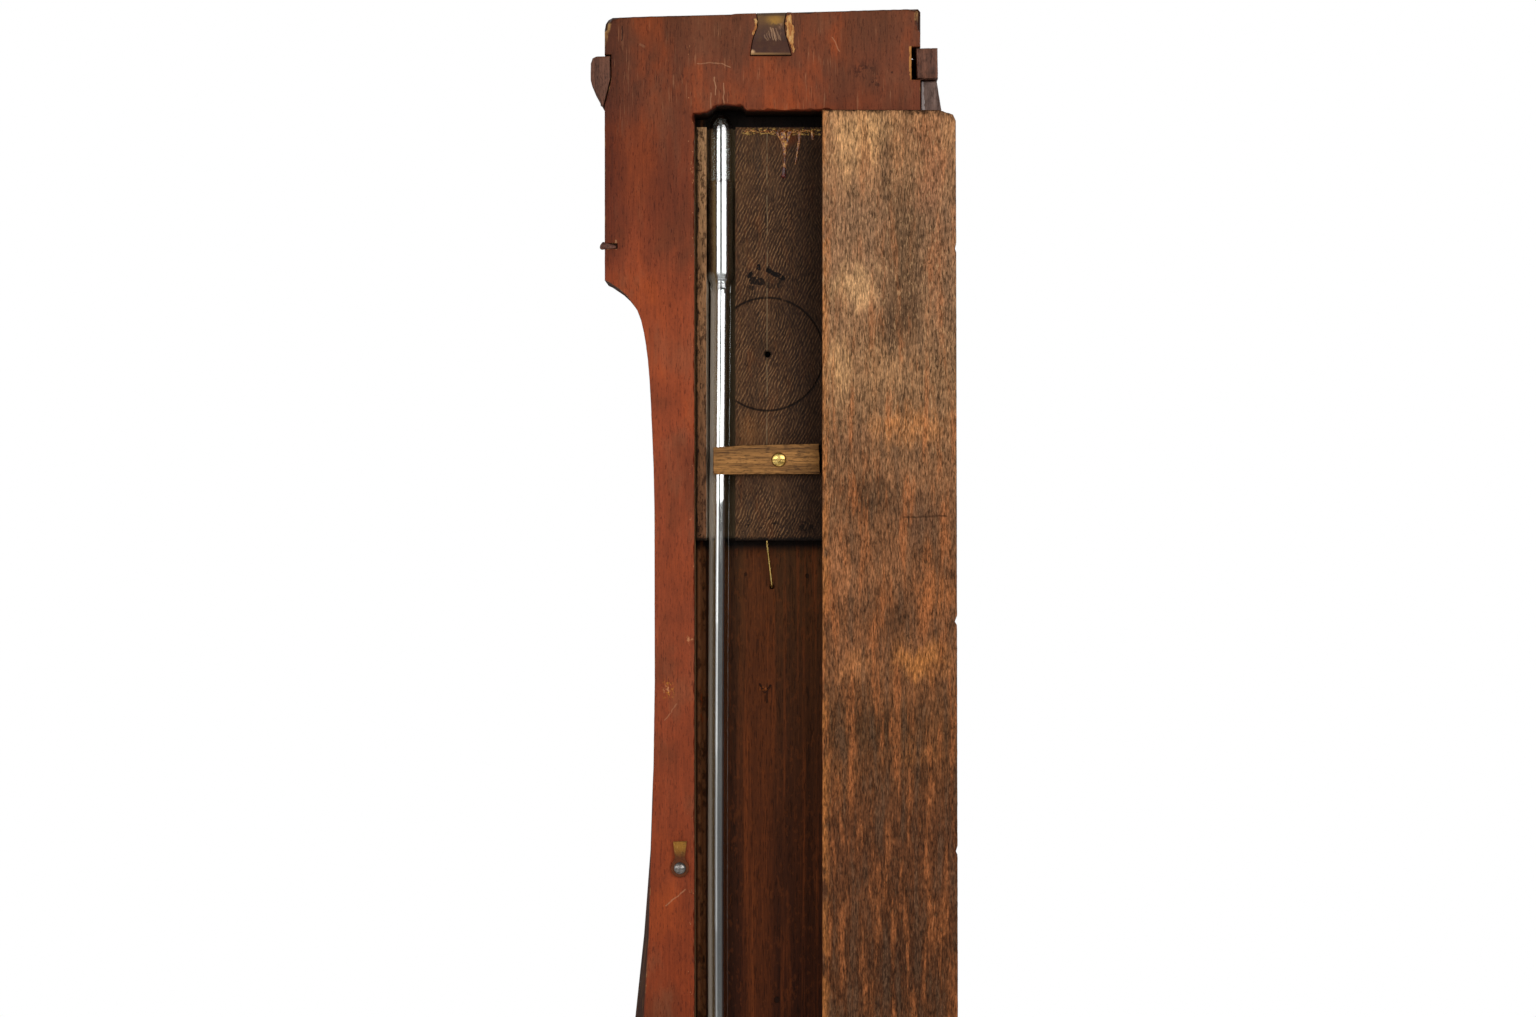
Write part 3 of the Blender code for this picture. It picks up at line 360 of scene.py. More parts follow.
def rim_loops(bm, level):
    """Corner loops round the flat faces at one level, each corner with the way into the face."""
    flat = [
        f for f in bm.faces if f.normal.y > 0.99 and abs(f.calc_center_median().y - level) < 2e-5
    ]
    chosen, inward = set(flat), {}
    for face in flat:
        for edge in face.edges:
            if all(other in chosen for other in edge.link_faces):
                continue
            a, b = (v.co for v in edge.verts)
            along = (b - a).normalized()
            side = Vector((-along.z, 0, along.x))
            if side.dot(face.calc_center_median() - (a + b) / 2) < 0:
                side.negate()
            inward[edge] = side
    bmesh.ops.delete(bm, geom=flat, context="FACES")
    left, loops = dict(inward), []
    while left:
        first, side = next(iter(left.items()))
        start, here = first.verts
        loop, edge = [], first
        while edge is not None:
            loop.append((start, here, edge, left.pop(edge)))
            start = here
            edge = next((e for e in here.link_edges if e in left), None)
            here = edge.other_vert(here) if edge is not None else None
        loops.append(loop)
    return loops


def densify(bm, loop, step):
    """Splits a loop's edges to about step metres. Returns (corner, way in) in order."""
    corners, before = [], loop[-1][3]
    for start, end, edge, side in loop:
        corners.append((start, (before + side).normalized() if (before + side).length > 0.3 else side))
        count = max(1, round((end.co - start.co).length / step))
        here = start
        for k in range(count - 1):
            edge = bm.edges.get((here, end))
            _, new = bmesh.utils.edge_split(edge, here, 1 / (count - k))
            corners.append((new, side))
            here = new
        before = side
    return corners


RIM_DEPTH = 2.6 * MM  # the worn rim's sides are cut off from the board this far below the face


def worn_face(bm, level, wear, step):
    """Rounds and roughens the rim of a node's flat face at one level.

    wear(x, z) gives the rim's radius and how far it has been chipped back, in millimetres.
    """
    bmesh.ops.bisect_plane(
        bm, geom=bm.verts[:] + bm.edges[:] + bm.faces[:],
        plane_co=(0, level - RIM_DEPTH, 0), plane_no=(0, 1, 0),
    )
    bm.normal_update()
    points, links = [], []
    for loop in rim_loops(bm, level):
        corners = densify(bm, loop, step)
        rings = []
        for corner, side in corners:
            radius, back = (v * MM for v in wear(corner.co.x, corner.co.z))
            base = corner.co.copy()
            middle = bm.verts.new(base + side * (back + 0.3 * radius) + Vector((0, -0.3 * radius, 0)))
            top = bm.verts.new(base + side * (back + radius))
            corner.co = base + side * back + Vector((0, -radius, 0))
            rings.append((corner, middle, top))
        first = len(points)
        points += [ring[2] for ring in rings]
        count = len(rings)
        for i in range(count):
            a, b = rings[i], rings[(i + 1) % count]
            for low in (0, 1):
                bm.faces.new((a[low], b[low], b[low + 1], a[low + 1]))
            links.append((first + i, first + (i + 1) % count))
    flat = [Vector((v.co.x, v.co.z)) for v in points]
    verts, _, faces, sources, _, _ = geometry.delaunay_2d_cdt(flat, links, [], 0, 1e-8)
    lines = np.array([[*flat[a], *flat[b]] for a, b in links])
    made = [points[s[0]] if s else bm.verts.new((v.x, level, v.y)) for v, s in zip(verts, sources)]
    for face in faces:
        middle = sum((verts[i] for i in face), Vector((0, 0))) / len(face)
        below = (lines[:, 1] > middle.y) != (lines[:, 3] > middle.y)
        x = lines[below, 0] + (middle.y - lines[below, 1]) * (
            lines[below, 2] - lines[below, 0]
        ) / (lines[below, 3] - lines[below, 1])
        if np.count_nonzero(x > middle.x) % 2:
            corners = [made[i] for i in face]
            if len(set(corners)) == 3 and bm.faces.get(corners) is None:
                bm.faces.new(corners)


def ring(bm, centre, radius, across, up, count):
    """A circle of corners round centre in the plane of two directions."""
    turns = (2 * math.pi * k / count for k in range(count))
    return [bm.verts.new(centre + radius * (math.cos(t) * across + math.sin(t) * up)) for t in turns]


def bridge(bm, a, b):
    for k in range(len(a)):
        n = (k + 1) % len(a)
        bm.faces.new((a[k], a[n], b[n], b[k]))


def cap(bm, loop, tip):
    """Closes a ring with a fan to one point."""
    point = bm.verts.new(tip)
    for k in range(len(loop)):
        bm.faces.new((loop[k], loop[(k + 1) % len(loop)], point))


def swept(bm, path, radii, count):
    """Rings along a path that lies in a plane of constant Y. Returns them."""
    up, rings = Vector((0, 1, 0)), []
    for i, point in enumerate(path):
        ahead = path[min(i + 1, len(path) - 1)] - path[max(i - 1, 0)]
        across = ahead.cross(up).normalized()
        lift = across.cross(ahead).normalized()
        rings.append(ring(bm, point, max(radii[i], 1e-6), across, lift, count))
    for a, b in zip(rings, rings[1:]):
        bridge(bm, a, b)
    return rings


def lathe(bm, profile, centre, axis, count=48):
    """Turns (radius, along) pairs, in millimetres, round an axis through centre. Ends are closed."""
    axis = Vector(axis).normalized()
    across = axis.orthogonal().normalized()
    up = axis.cross(across)
    rings = [
        ring(bm, Vector(centre) + axis * along * MM, radius * MM, across, up, count)
        for radius, along in profile
        if radius > 0
    ]
    for a, b in zip(rings, rings[1:]):
        bridge(bm, a, b)
    for loop, (radius, along) in ((rings[0], profile[0]), (rings[-1], profile[-1])):
        if radius > 0:
            bm.faces.new(loop)
        else:
            cap(bm, loop, Vector(centre) + axis * along * MM)
    return rings


# ---------------------------------------------------------------- woods

CHANNEL_LEFT = 28.8  # the channel's wall on the photo's left, in millimetres from the middle
BUTTON_AXIS_Z = -352.6


def fibre(g, colour, strength=0.2, size=0.32, along=36, shift=0.0):
    """Fine vertical fibres and broader streaks over a wood colour."""
    fine = g.noise(size, along, 4, 0.65, shift=shift)
    broad = g.noise(size * 6, along * 1.2, 3, 0.6, shift=shift + 3.1)
    both = fine * 0.6 + broad * 0.4
    dark = g.mix(g.rise(both, 0.5, 0.05) * strength * 2, colour, "#1c0e08")
    return g.mix(g.rise(both, 0.5, 0.95) * strength, dark, "#d9a678"), both


def pores(g, size, length, share, shift=0.0):
    """Short dark flecks along the grain, 0 to 1; share is roughly how much they cover."""
    spots = g.noise(size, length, 2, 0.5, shift=shift)
    return g.rise(spots, 1 - share, 1 - share * 0.45)


def stained_back():
    """The case back: stained, knocked and scratched, and raw where its edges are torn."""
    g = Graph("stained_back_worn")
    down = (8.0 - g.z) / 424.0
    g.colour = g.ramp(
        down, (0.0, "#6b3c2b"), (0.045, "#6c3a29"), (0.09, "#743b28"), (0.14, "#763823"), (0.2, "#7c3923"),
        (0.27, "#8a4027"), (0.34, "#93452a"), (0.42, "#8b4129"), (0.62, "#8a4028"), (0.8, "#863c23"),
        (1.0, "#7f351a"),
    )
    cloud = g.noise(30, 2.0, 4, 0.6, 0.3)
    g.tint(g.rise(cloud, 0.45, 0.9) * 0.55, "#a34a22")
    g.tint(g.rise(cloud, 0.5, 0.1) * 0.5, "#55301f")
    grey = g.noise(11, 2.6, 4, 0.62, 0.3, shift=5)
    g.tint(g.rise(grey, 0.55, 0.95) * 0.35, "#6a4434")
    g.gain(grey, 0.82, 1.2)
    top = g.rise(g.z, -34, -16)
    g.tint(top * g.rise(grey, 0.6, 0.2) * 0.3, "#5a3a2c")
    edge = g.rise(g.x, 55, 67) * g.rise(g.z, -112, -90)
    g.shade(edge * 0.5, "#a5827a")
    streak = g.noise(1.3, 22, 4, 0.62, shift=1)
    fine = g.noise(0.46, 22, 3, 0.6, shift=3)
    both = streak * 0.5 + fine * 0.5
    g.gain(streak, 0.84, 1.16)
    g.gain(fine, 0.86, 1.14)
    grit = g.noise(0.8, 1.3, 3, 0.6, shift=17)
    g.gain(grit, 0.9, 1.1)
    fleck = pores(g, 0.4, 7, 0.26, 2.0)
    g.shade(fleck * 0.5, "#6b4436")
    # raised grain near the top, then scratches, chips and knocks where the photo shows them
    high = g.rise(g.z, -52, -18) * g.rise(g.z, 12, 0)
    comb = g.noise(0.5, 20, 2, 0.5, shift=11)
    raised = g.noise(9, 1.5, 2, 0.5, shift=4)
    comb = g.rise(comb, 0.74, 0.88) * g.rise(raised, 0.4, 0.8) * high
    g.tint(comb * 0.5, "#a9745c")
    wavy = g.flat_at(0.8, 5)
    pale = g.strokes(
        wavy,
        (27.5, -11.5, 17.5, -11.8, 0.1, 0.4), (17.5, -11.8, 13.5, -13.6, 0.12, 0.5),
        (20.3, -17.5, 20.0, -25.0, 0.12, 0.7), (22.0, -24.0, 21.8, -36.0, 0.1, 0.5),
        (16.6, -20.0, 16.4, -36.5, 0.1, 0.6), (52.0, -3.8, 50.2, -4.8, 0.35, 0.25),
        (-29.5, -0.5, -32.8, -6.5, 0.1, 0.4), (36.0, -283.0, 41.5, -290.0, 0.12, 0.3),
        (33.0, -362.0, 41.0, -368.5, 0.15, 0.45),
    )
    g.tint(pale * g.rise(fine, 0.1, 0.5, 0.4, 1.0), "#b88a74")
    wander = g.flat_at(2.4, 4, 2.0)
    chipped = g.top(
        g.stroke((-10.6, 7.4), (-12.2, -1.6), 1.2, wander, 0.6),
        g.stroke((2.5, 6.6), (3.4, 1.2), 0.55, wander, 0.3),
        g.stroke((-12.4, -2.0), (-12.8, -5.6), 0.4, wander, 0.5),
    )
    splinter = g.noise(0.9, 4, 4, 0.65, shift=9)
    chipped = g.rise(chipped + splinter * 0.5, 0.62, 0.95)
    chip_tone = g.ramp(splinter, (0.1, "#9a5636"), (0.45, "#c98e5a"), (0.9, "#edc798"))
    g.tint(chipped * 0.9, chip_tone)
    smudge = g.noise(2.6, 1.4, 3, 0.6, shift=21)
    smudge = g.rise(smudge, 0.5, 0.75) * g.top(g.blob(-43, -15, 9, 7), g.blob(-48, -20, 5, 5))
    g.shade(smudge * 0.6, "#5a4038")
    dark = g.strokes(
        wavy,
        (59.7, 3.8, 59.5, -1.9, 0.1, 1.0), (46.0, -33.0, 46.3, -46.0, 0.08, 0.35),
        (-54.9, -15.3, -54.9, -15.6, 0.3, 0.8),
    )
    g.tint(dark * 0.85, "#24120c")
    beside_channel = g.band(g.x, CHANNEL_LEFT + 1.4, 0.8, 1.5)
    bits = g.noise(1.5, 2.2, 4, 0.7, shift=31)
    zones = g.top(g.blob(29, -58, 5, 15), g.blob(31, -255, 4, 6), g.blob(40, -277, 5, 7))
    bits = g.rise(bits - (1 - zones) * 0.2, 0.64, 0.76) * g.top(beside_channel, zones)
    g.tint(bits * 0.7, "#d0906e")
    golden = g.rise(g.noise(1.1, 1.6, 4, 0.7, shift=35), 0.6, 0.72) * g.blob(40, -277, 3.5, 6.5)
    g.tint(golden * 0.8, "#c98a35")
    dent = g.stroke((62.5, -86.8), (62.0, -89.9), 0.25, wavy, 0.3)
    g.tint(dent * 0.6, "#b0846a")
    # the rounded rim, raw where it is torn; the outer sides; the channel's walls, painted near black as
    # shade, with a painted lit strip on the left wall
    deep = g.rise(g.y, -0.04, -0.5) * g.rise(g.y, -3.2, -1.2)
    torn = g.noise(2.2, 2, 4, 0.7, shift=41)
    upper = g.rise(g.z, 3.5, 5.5)
    g.tint(deep * upper * 0.75, "#33190f")
    corner = g.top(g.blob(67, 3, 5, 13), g.blob(-67, 9, 7, 7))
    face_corner = g.rise(corner * 0.75 + torn * 0.4, 0.72, 0.95) * g.top(deep, corner * 0.8)
    pale_edge = g.top(deep * g.rise(torn + corner * 0.4 - upper * 0.12, 0.62, 0.8), face_corner)
    g.tint(pale_edge * 0.75, g.ramp(torn, (0.2, "#a4774f"), (0.8, "#d3a878")))
    wall = g.rise(g.y, -0.7, -2.2)
    inside = g.band(g.x, 0, 31, 1.0) * g.rise(g.z, -27.5, -29.5) * g.rise(g.z, -895, -890)
    side_tone, _ = fibre(g, g.ramp(g.noise(9, 4), (0.2, "#2b140d"), (0.8, "#47261a")), 0.2, 0.4, 30)
    g.tint(wall, side_tone)
    # painted shade: the channel's walls are near black, except for a painted lit strip on the left wall
    # that fades lower down
    painted_wall_shade = g.ramp(g.noise(5, 3, shift=8), (0.2, "#140a06"), (0.8, "#2a170e"))
    lit_wall = g.rise(g.x, 25, 27) * g.rise(g.y, -2.0, -4.5) * g.rise(g.z, -36, -44)
    painted_wall_shade = g.mix(lit_wall * g.rise(g.z, -205, -225, 1.0, 0.45), painted_wall_shade, "#a78a68")
    g.tint(wall * inside, painted_wall_shade)
    red_lip = inside * g.rise(g.y, -4.6, -2.0) * g.rise(g.y, 0.0, -0.5) * g.rise(torn, 0.25, 0.6)
    g.tint(red_lip * 0.85, "#6e2a18")
    g.bump(both, 0.06, 0.6)
    g.bump(g.rise(fleck + comb, 0, 1), -0.05, 0.6)
    g.bump(g.top(pale, dark, bits), -0.15, 0.7)
    g.bump(chipped * g.rise(splinter, 0, 1, 0.3, 1.0), -0.6, 0.8)
    g.bump(cloud, 0.3, 0.4)
    rough = 0.52 + both * 0.12 + g.top(pale, pale_edge) * 0.2
    sliver = g.band(g.x, -62.7, 0.45, 0.3) * g.band(g.z, -11.5, 6.8, 0.6)
    g.tint(sliver * g.rise(torn, 0.2, 0.5) * 0.8, "#c98d52")
    dim = g.rise(g.x, 22, 42) * g.rise(g.z, -88, -62)
    g.gain(dim, 1.0, 0.78)
    g.cast(0.97, 0.91, 0.68)
    return g.finish(rough, Specular_IOR_Level=0.14)


def raw_door():
    """The door: raw and mottled on the inside, which shows when it is open, stained outside."""
    g = Graph("raw_door_wood")
    down = (-31.9 - g.z) / 385.0
    g.colour = g.ramp(
        down, (0.0, "#a87a54"), (0.05, "#a67a55"), (0.11, "#8e6b4f"), (0.2, "#946f51"), (0.3, "#95704f"),
        (0.4, "#875f41"), (0.5, "#7c5337"), (0.59, "#7d5235"), (0.68, "#674329"), (0.79, "#5f3a24"),
        (0.94, "#593620"),
    )
    band = g.noise(20, (1.1, 1, 1.2), 4, 0.6, 0.6, shift=6)
    patch = g.noise(6, (1.0, 1, 3.2), 4, 0.6, 0.5, shift=14)
    sway = g.join(g.x + (band - 0.5) * 12, 0.0, g.z + (patch - 0.5) * 12)
    for x, z, wide, tall, tone, share in (
        (-42, -40, 22, 16, "#cfa06e", 0.8), (-34, -50, 8, 20, "#c79a6b", 0.6),
        (-70, -55, 9, 30, "#8f5f44", 0.6), (-58, -90, 14, 50, "#58432f", 0.65),
        (-39, -106, 12, 15, "#cba072", 0.8), (-57, -120, 13, 20, "#4c3626", 0.65),
        (-75, -100, 6, 40, "#a06c4a", 0.55), (-30, -140, 8, 20, "#c39768", 0.65),
        (-50, -142, 12, 16, "#a98059", 0.5), (-60, -166, 22, 11, "#c48450", 0.85),
        (-38, -172, 10, 14, "#7c563c", 0.5), (-46, -195, 15, 15, "#493424", 0.7),
        (-66, -205, 14, 16, "#5c4232", 0.55), (-33, -225, 8, 22, "#a87049", 0.6),
        (-52, -228, 16, 10, "#9a6a47", 0.6), (-74, -235, 10, 12, "#a8683c", 0.7),
        (-55, -246, 12, 14, "#3e291b", 0.65), (-38, -266, 12, 10, "#a87046", 0.7),
        (-66, -264, 16, 12, "#bb7a42", 0.8), (-50, -292, 24, 14, "#46301f", 0.65),
        (-67, -304, 12, 7, "#8d5a34", 0.6), (-36, -312, 8, 12, "#7a4c2b", 0.5),
        (-55, -335, 26, 14, "#4d311f", 0.5), (-70, -360, 9, 18, "#70452a", 0.5),
        (-55, -395, 26, 30, "#40271a", 0.5),
    ):
        g.tint(g.blob(x, z, wide, tall, sway) * share, tone)
    g.gain(band * 0.5 + patch * 0.5, 0.6, 1.32)
    column = g.noise(4.5, 9, 3, 0.6, shift=22)
    g.tint(g.rise(column, 0.5, 0.85) * g.rise(g.z, -60, -200, 0.25, 0.55), "#a5643a")
    g.tint(g.rise(column, 0.5, 0.15) * 0.45, "#5c4838")
    # a painted highlight: a lighter orange strip along the door's left edge, where the edge catches the
    # light
    left = g.rise(g.x, -29.5, -25.6)
    g.tint(left * g.rise(patch, 0.2, 0.6) * 0.6, "#b9763f")
    dash = g.noise(0.62, 5.5, 2, 0.5, 0.35, shift=5)
    small = g.noise(0.36, 4.0, 2, 0.5, 0.2, shift=8)
    both = dash * 0.6 + small * 0.4
    g.gain(dash, 0.3, 1.68)
    g.gain(small, 0.66, 1.32)
    fleck = pores(g, 0.6, 3.4, 0.3, 1.0) * g.rise(band, 0.95, 0.2, 0.4, 1.0)
    g.tint(fleck * 0.6, "#2c1a0d")
    bright = pores(g, 0.55, 5, 0.24, 17.0)
    g.tint(bright * g.rise(g.z, -240, -110, 0.06, 0.35), "#e0b484")
    marks = g.strokes(
        g.flat_at(0.7, 6),
        (-60.3, -203.8, -77.6, -203.6, 0.18, 0.9), (-31.0, -55.0, -31.4, -84.0, 0.1, 0.3),
        (-48.0, -250.0, -48.5, -283.0, 0.1, 0.25), (-72.5, -141.0, -72.0, -170.0, 0.1, 0.25),
        (-71.0, -199.0, -74.5, -207.0, 0.12, 0.5), (-27.5, -262.0, -30.0, -268.0, 0.15, 0.5),
    )
    g.tint(marks * 0.6, "#3a2416")
    rag = g.noise(1.5, 2.4, 4, 0.75, shift=3)
    broken = g.noise(9, detail=2, shift=30)
    end = g.rise(g.z - rag * 4.2 - broken * 2.0, -37.2, -34.6)
    g.tint(end * 0.85, g.ramp(rag, (0.2, "#1e120b"), (0.8, "#4c3323")))
    rim = g.rise(g.y, 6.9, 6.4)
    g.tint(rim * 0.6, "#4b2f1b")
    outer = g.rise(g.y, 3.2, 2.7)
    stain, _ = fibre(g, g.ramp(g.noise(22, 3), (0.2, "#6d321f"), (0.8, "#8a452b")), 0.2, 0.34, 40)
    g.tint(outer, stain)
    g.bump(both, 0.09, 0.8)
    g.bump(fleck, -0.12, 0.8)
    g.bump(end * rag, 0.6, 0.9)
    g.bump(marks, -0.3)
    g.cast(0.98, 0.93, 0.88)
    return g.finish(0.8 - outer * 0.25, Specular_IOR_Level=0.08)


def toothed_board():
    """The board let into the channel: scored all over by a toothing plane, then scribed."""
    g = Graph("toothed_inner_board")
    cloud = g.noise(16, (0.8, 1, 1.8), 4, 0.6, 0.4, shift=1)
    g.colour = g.ramp(cloud, (0.1, "#3f2a1c"), (0.5, "#4f3727"), (0.9, "#63462f"))
    warm = g.noise(6, (0.7, 1, 3), 4, 0.6, 0.5, shift=27)
    g.tint(g.rise(warm, 0.55, 0.9) * 0.5, "#6b3f22")
    g.tint(g.rise(warm, 0.4, 0.1) * 0.5, "#3c3027")
    # darker towards the right: partly the board's own darker tone, partly painted shadow from the door's
    # edge; the lower left is lightened as painted light
    g.tint(g.rise(g.x, -2, -17) * 0.75, "#2b1b13")
    low_left_painted_light = g.blob(6, -168, 9, 14)
    g.tint(low_left_painted_light * 0.45, "#96683f")
    strip = g.rise(g.x, 23.2, 23.9)
    down = (-40 - g.z) / 175
    strip_tone = g.ramp(down, (0.0, "#c59c72"), (0.35, "#bb8f67"), (0.7, "#9a7050"), (1.0, "#835b40"))
    g.tint(strip * 0.95, strip_tone)
    blot = g.noise(1.5, 2.4, 4, 0.65, shift=44)
    g.tint(strip * g.rise(blot, 0.58, 0.74) * 0.75, "#3c2517")
    # painted shade: a near-black line in the gap between the board's left edge and the channel's wall
    g.tint(g.rise(g.x + blot * 1.3, 28.0, 28.5) * 0.85, "#170c07")
    grain = g.noise(0.8, 7, 4, 0.62, 0.2, shift=2)
    g.gain(grain, 0.5, 1.45)
    lean = g.noise(7, detail=2, shift=3) * 1.2
    slant = g.x * 0.9 + g.z * 0.43 + lean
    wide = g.noise(9, (0.8, 1, 1.6), 3, 0.6, shift=12)
    sharp = g.noise(0.7, 3.5, 2, 0.5, shift=8)
    comb = g.rise(g.sine(slant * 5.0), -0.1, 0.95) * g.rise(sharp, 0.1, 0.7)
    # the toothing marks fade towards the right, into the painted shadow
    comb = comb * g.rise(g.x, 24.2, 23.2) * g.rise(g.x, -22, -3, 0.3, 1.0)
    back = g.x * 0.93 - g.z * 0.36 + lean
    comb_two = g.rise(g.sine(back * 5.4), 0.1, 0.95) * g.rise(wide, 0.6, 0.25) * g.rise(sharp, 0.2, 0.7)
    g.tint(comb * g.rise(wide, 0.15, 0.7, 0.15, 0.8), "#a07a55")
    g.tint(comb_two * 0.25, "#957350")
    fleck = pores(g, 0.5, 4, 0.34, 9.0)
    g.tint(fleck * 0.55, "#150b06")
    # the scribed line and circle, the pilot hole, and the smears of old writing
    line = g.stroke((-1.9, -40.5), (-1.9, -176), 0.1, g.flat_at(0.35, 9))
    line = line * g.rise(g.noise(1.4, 4, 3, 0.6, shift=5), 0.25, 0.5)
    g.tint(line * 0.62, "#a89274")
    off = g.vector("DISTANCE", g.vector("MULTIPLY", g.at, (1, 0, 1)), (-2.1, 0, -134.4), out=1)
    circle = g.band(off, 24.1, 0.22, 0.4) * g.rise(g.noise(5, detail=2, shift=6), 0.0, 0.35)
    g.tint(circle * 0.85, "#120905")
    hole = g.rise(off, 2.1, 1.3)
    g.tint(hole * 0.7, "#140b07")
    spots = g.noise(1.1, 1.1, 3, 0.6, 0.4, shift=15)
    smear = g.strokes(
        g.flat_at(1.6, 8),
        (5.0, -99.9, 5.2, -101.0, 1.0, 1.0), (1.7, -96.6, 1.8, -97.8, 0.8, 1.0),
        (-2.4, -98.6, -8.6, -102.0, 0.9, 1.0), (3.8, -103.0, 0.4, -103.4, 1.3, 0.9),
        (5.4, -105.4, 4.0, -106.0, 0.9, 0.8), (-8.6, -102.0, -7.4, -105.0, 0.8, 0.7),
        (-2.2, -104.6, -5.0, -105.2, 1.0, 0.5), (-2.6, -97.6, -3.4, -98.6, 0.7, 0.8),
    )
    smear = smear * g.rise(spots, 0.1, 0.36)
    g.tint(smear * 0.97, "#0c0604")
    low = g.rise(g.noise(1.8, (1.2, 1, 1), 4, 0.6, shift=25) + g.blob(-17, -208, 6, 4) * 0.3, 0.7, 0.86)
    low = low * g.rise(g.z, -196, -208)
    g.tint(low * 0.85, "#130905")
    crust = g.noise(1.0, (1.8, 1, 0.7), 4, 0.7, 0.6, shift=33)
    run = g.patch(-8, -39.4, 16.5, 1.1, 1.1)
    glue = g.rise(crust + run * 0.3, 0.78, 0.9) * run
    g.tint(glue * 0.85, g.ramp(crust, (0.4, "#8a5a1e"), (0.8, "#e3bd72")))
    rusty = g.blob(-11.0, -41.5, 5.5, 6) * g.rise(warm, 0.1, 0.6)
    g.tint(rusty * 0.75, "#6e3514")
    # the tube's groove, in painted shadow, with painted light on its wall and beside the tube, and a
    # painted shadow along the board's lower end
    groove = g.rise(g.y, -11.6, -13.0)
    g.tint(groove * 0.82, "#140c08")
    # painted light: a near-white strip on the groove's wall, for the tube's glass to reflect
    painted_lit_groove_wall = g.rise(g.x, 23.0, 23.6) * g.rise(g.y, -11.2, -11.8) * g.rise(g.x, 24.6, 24.2)
    painted_lit_groove_wall = painted_lit_groove_wall * g.rise(g.z, -98, -106)
    g.tint(painted_lit_groove_wall * 0.95, "#f2e6d6")
    # painted light: the groove right of the tube lifted to a mid brown against its shade
    g.tint(groove * g.rise(g.x, 16.2, 15.2) * 0.9, "#75654f")
    # painted shadow: a ragged near-black band along the board's lower end
    g.tint(g.rise(g.z + crust * 1.6, -211.2, -212.6) * 0.9, "#0a0503")
    g.bump(grain, 0.1, 0.7)
    g.bump(g.top(comb, comb_two), 0.14, 0.9)
    g.bump(fleck, -0.12, 0.6)
    g.bump(g.top(line, circle), -0.3)
    g.bump(glue, 0.5)
    g.cast(0.74, 0.68, 0.62)
    return g.finish(0.66 - glue * 0.45, Specular_IOR_Level=0.12)


def channel_floor():
    """The front board: its planed mahogany back is the floor of the channel."""
    g = Graph("mahogany_board")
    down = (-210 - g.z) / 206.0
    g.colour = g.ramp(down, (0.0, "#50341f"), (0.3, "#4e2e1b"), (0.65, "#442311"), (1.0, "#3a1a09"))
    across = g.noise(3.4, 40, 4, 0.62, 0.2, shift=3)
    g.tint(g.rise(across, 0.5, 0.9) * 0.6, "#6d3a20")
    # painted light and shade: lighter down the middle, where light reaches past the door, and darker beside
    # the tube, in its shade
    middle = g.band(g.x, 1.5, 3, 6)
    g.tint(middle * 0.5, "#69371c")
    g.tint(g.rise(g.x, 9.5, 13.5) * 0.5, "#2b170d")
    g.gain(across, 0.72, 1.26)
    fine = g.noise(0.6, 24, 4, 0.62, shift=8)
    g.gain(fine, 0.72, 1.26)
    short = g.noise(0.7, 5, 3, 0.6, shift=13)
    g.gain(short, 0.82, 1.18)
    both = fine * 0.6 + short * 0.4
    fleck = pores(g, 0.45, 10, 0.3, 6.0)
    g.tint(fleck * 0.5, "#150904")
    ribbon = g.noise(1.8, 2.2, 3, 0.6, shift=18)
    g.tint(g.rise(ribbon, 0.62, 0.85) * 0.25, "#7c4423")
    wavy = g.flat_at(0.6, 3)
    nick = g.strokes(
        wavy,
        (1.5, -276.2, -1.0, -279.5, 0.3, 1.0), (-1.0, -279.5, -3.4, -276.4, 0.3, 1.0),
        (-2.0, -278.5, -1.6, -283.6, 0.25, 0.8), (-19.3, -229.0, -19.3, -229.5, 0.6, 0.9),
        (7.3, -228.4, 7.3, -228.9, 0.5, 0.8), (-6.1, -411.5, -6.2, -412.2, 0.9, 1.0),
    )
    g.tint(nick * 0.8, "#1a0c06")
    chip = g.blob(-0.5, -278.0, 2.6, 1.6) * g.rise(g.noise(0.9, detail=2, shift=2), 0.5, 0.6)
    g.tint(chip * 0.8, "#a8643a")
    inside = g.band(g.x, 0, 30, 1) * g.rise(g.z, -22, -26)
    # painted light: a lighter strip along the channel's left wall, lifting the shade there
    left = g.band(g.x, 26.2, 1.3, 0.8) * inside
    thread = g.band(g.x, 26.2, 0.3, 0.5) * g.rise(g.noise(3, 5, 3, 0.6, shift=7), 0.25, 0.6)
    g.tint(left * g.rise(ribbon, 0.15, 0.6, 0.2, 0.85), "#a67661")
    shadow = g.top(g.rise(g.z, -39.5, -36.5), g.rise(g.z, -219.5, -215.5) * g.rise(g.z, -200, -210))
    g.tint(shadow * inside * 0.95, "#080403")
    chips = g.rise(g.noise(1.6, 4, 4, 0.7, shift=27), 0.66, 0.76) * g.blob(26.5, -285, 2.5, 26)
    g.tint(thread * inside * 0.55, "#7a4a30")
    g.tint(chips * 0.7, "#a8552e")
    g.bump(both, 0.06, 0.6)
    g.bump(fleck, -0.1, 0.7)
    g.bump(nick, -0.5)
    g.cast(0.84, 0.68, 0.38)
    return g.finish(0.5 + both * 0.14, Specular_IOR_Level=0.1)


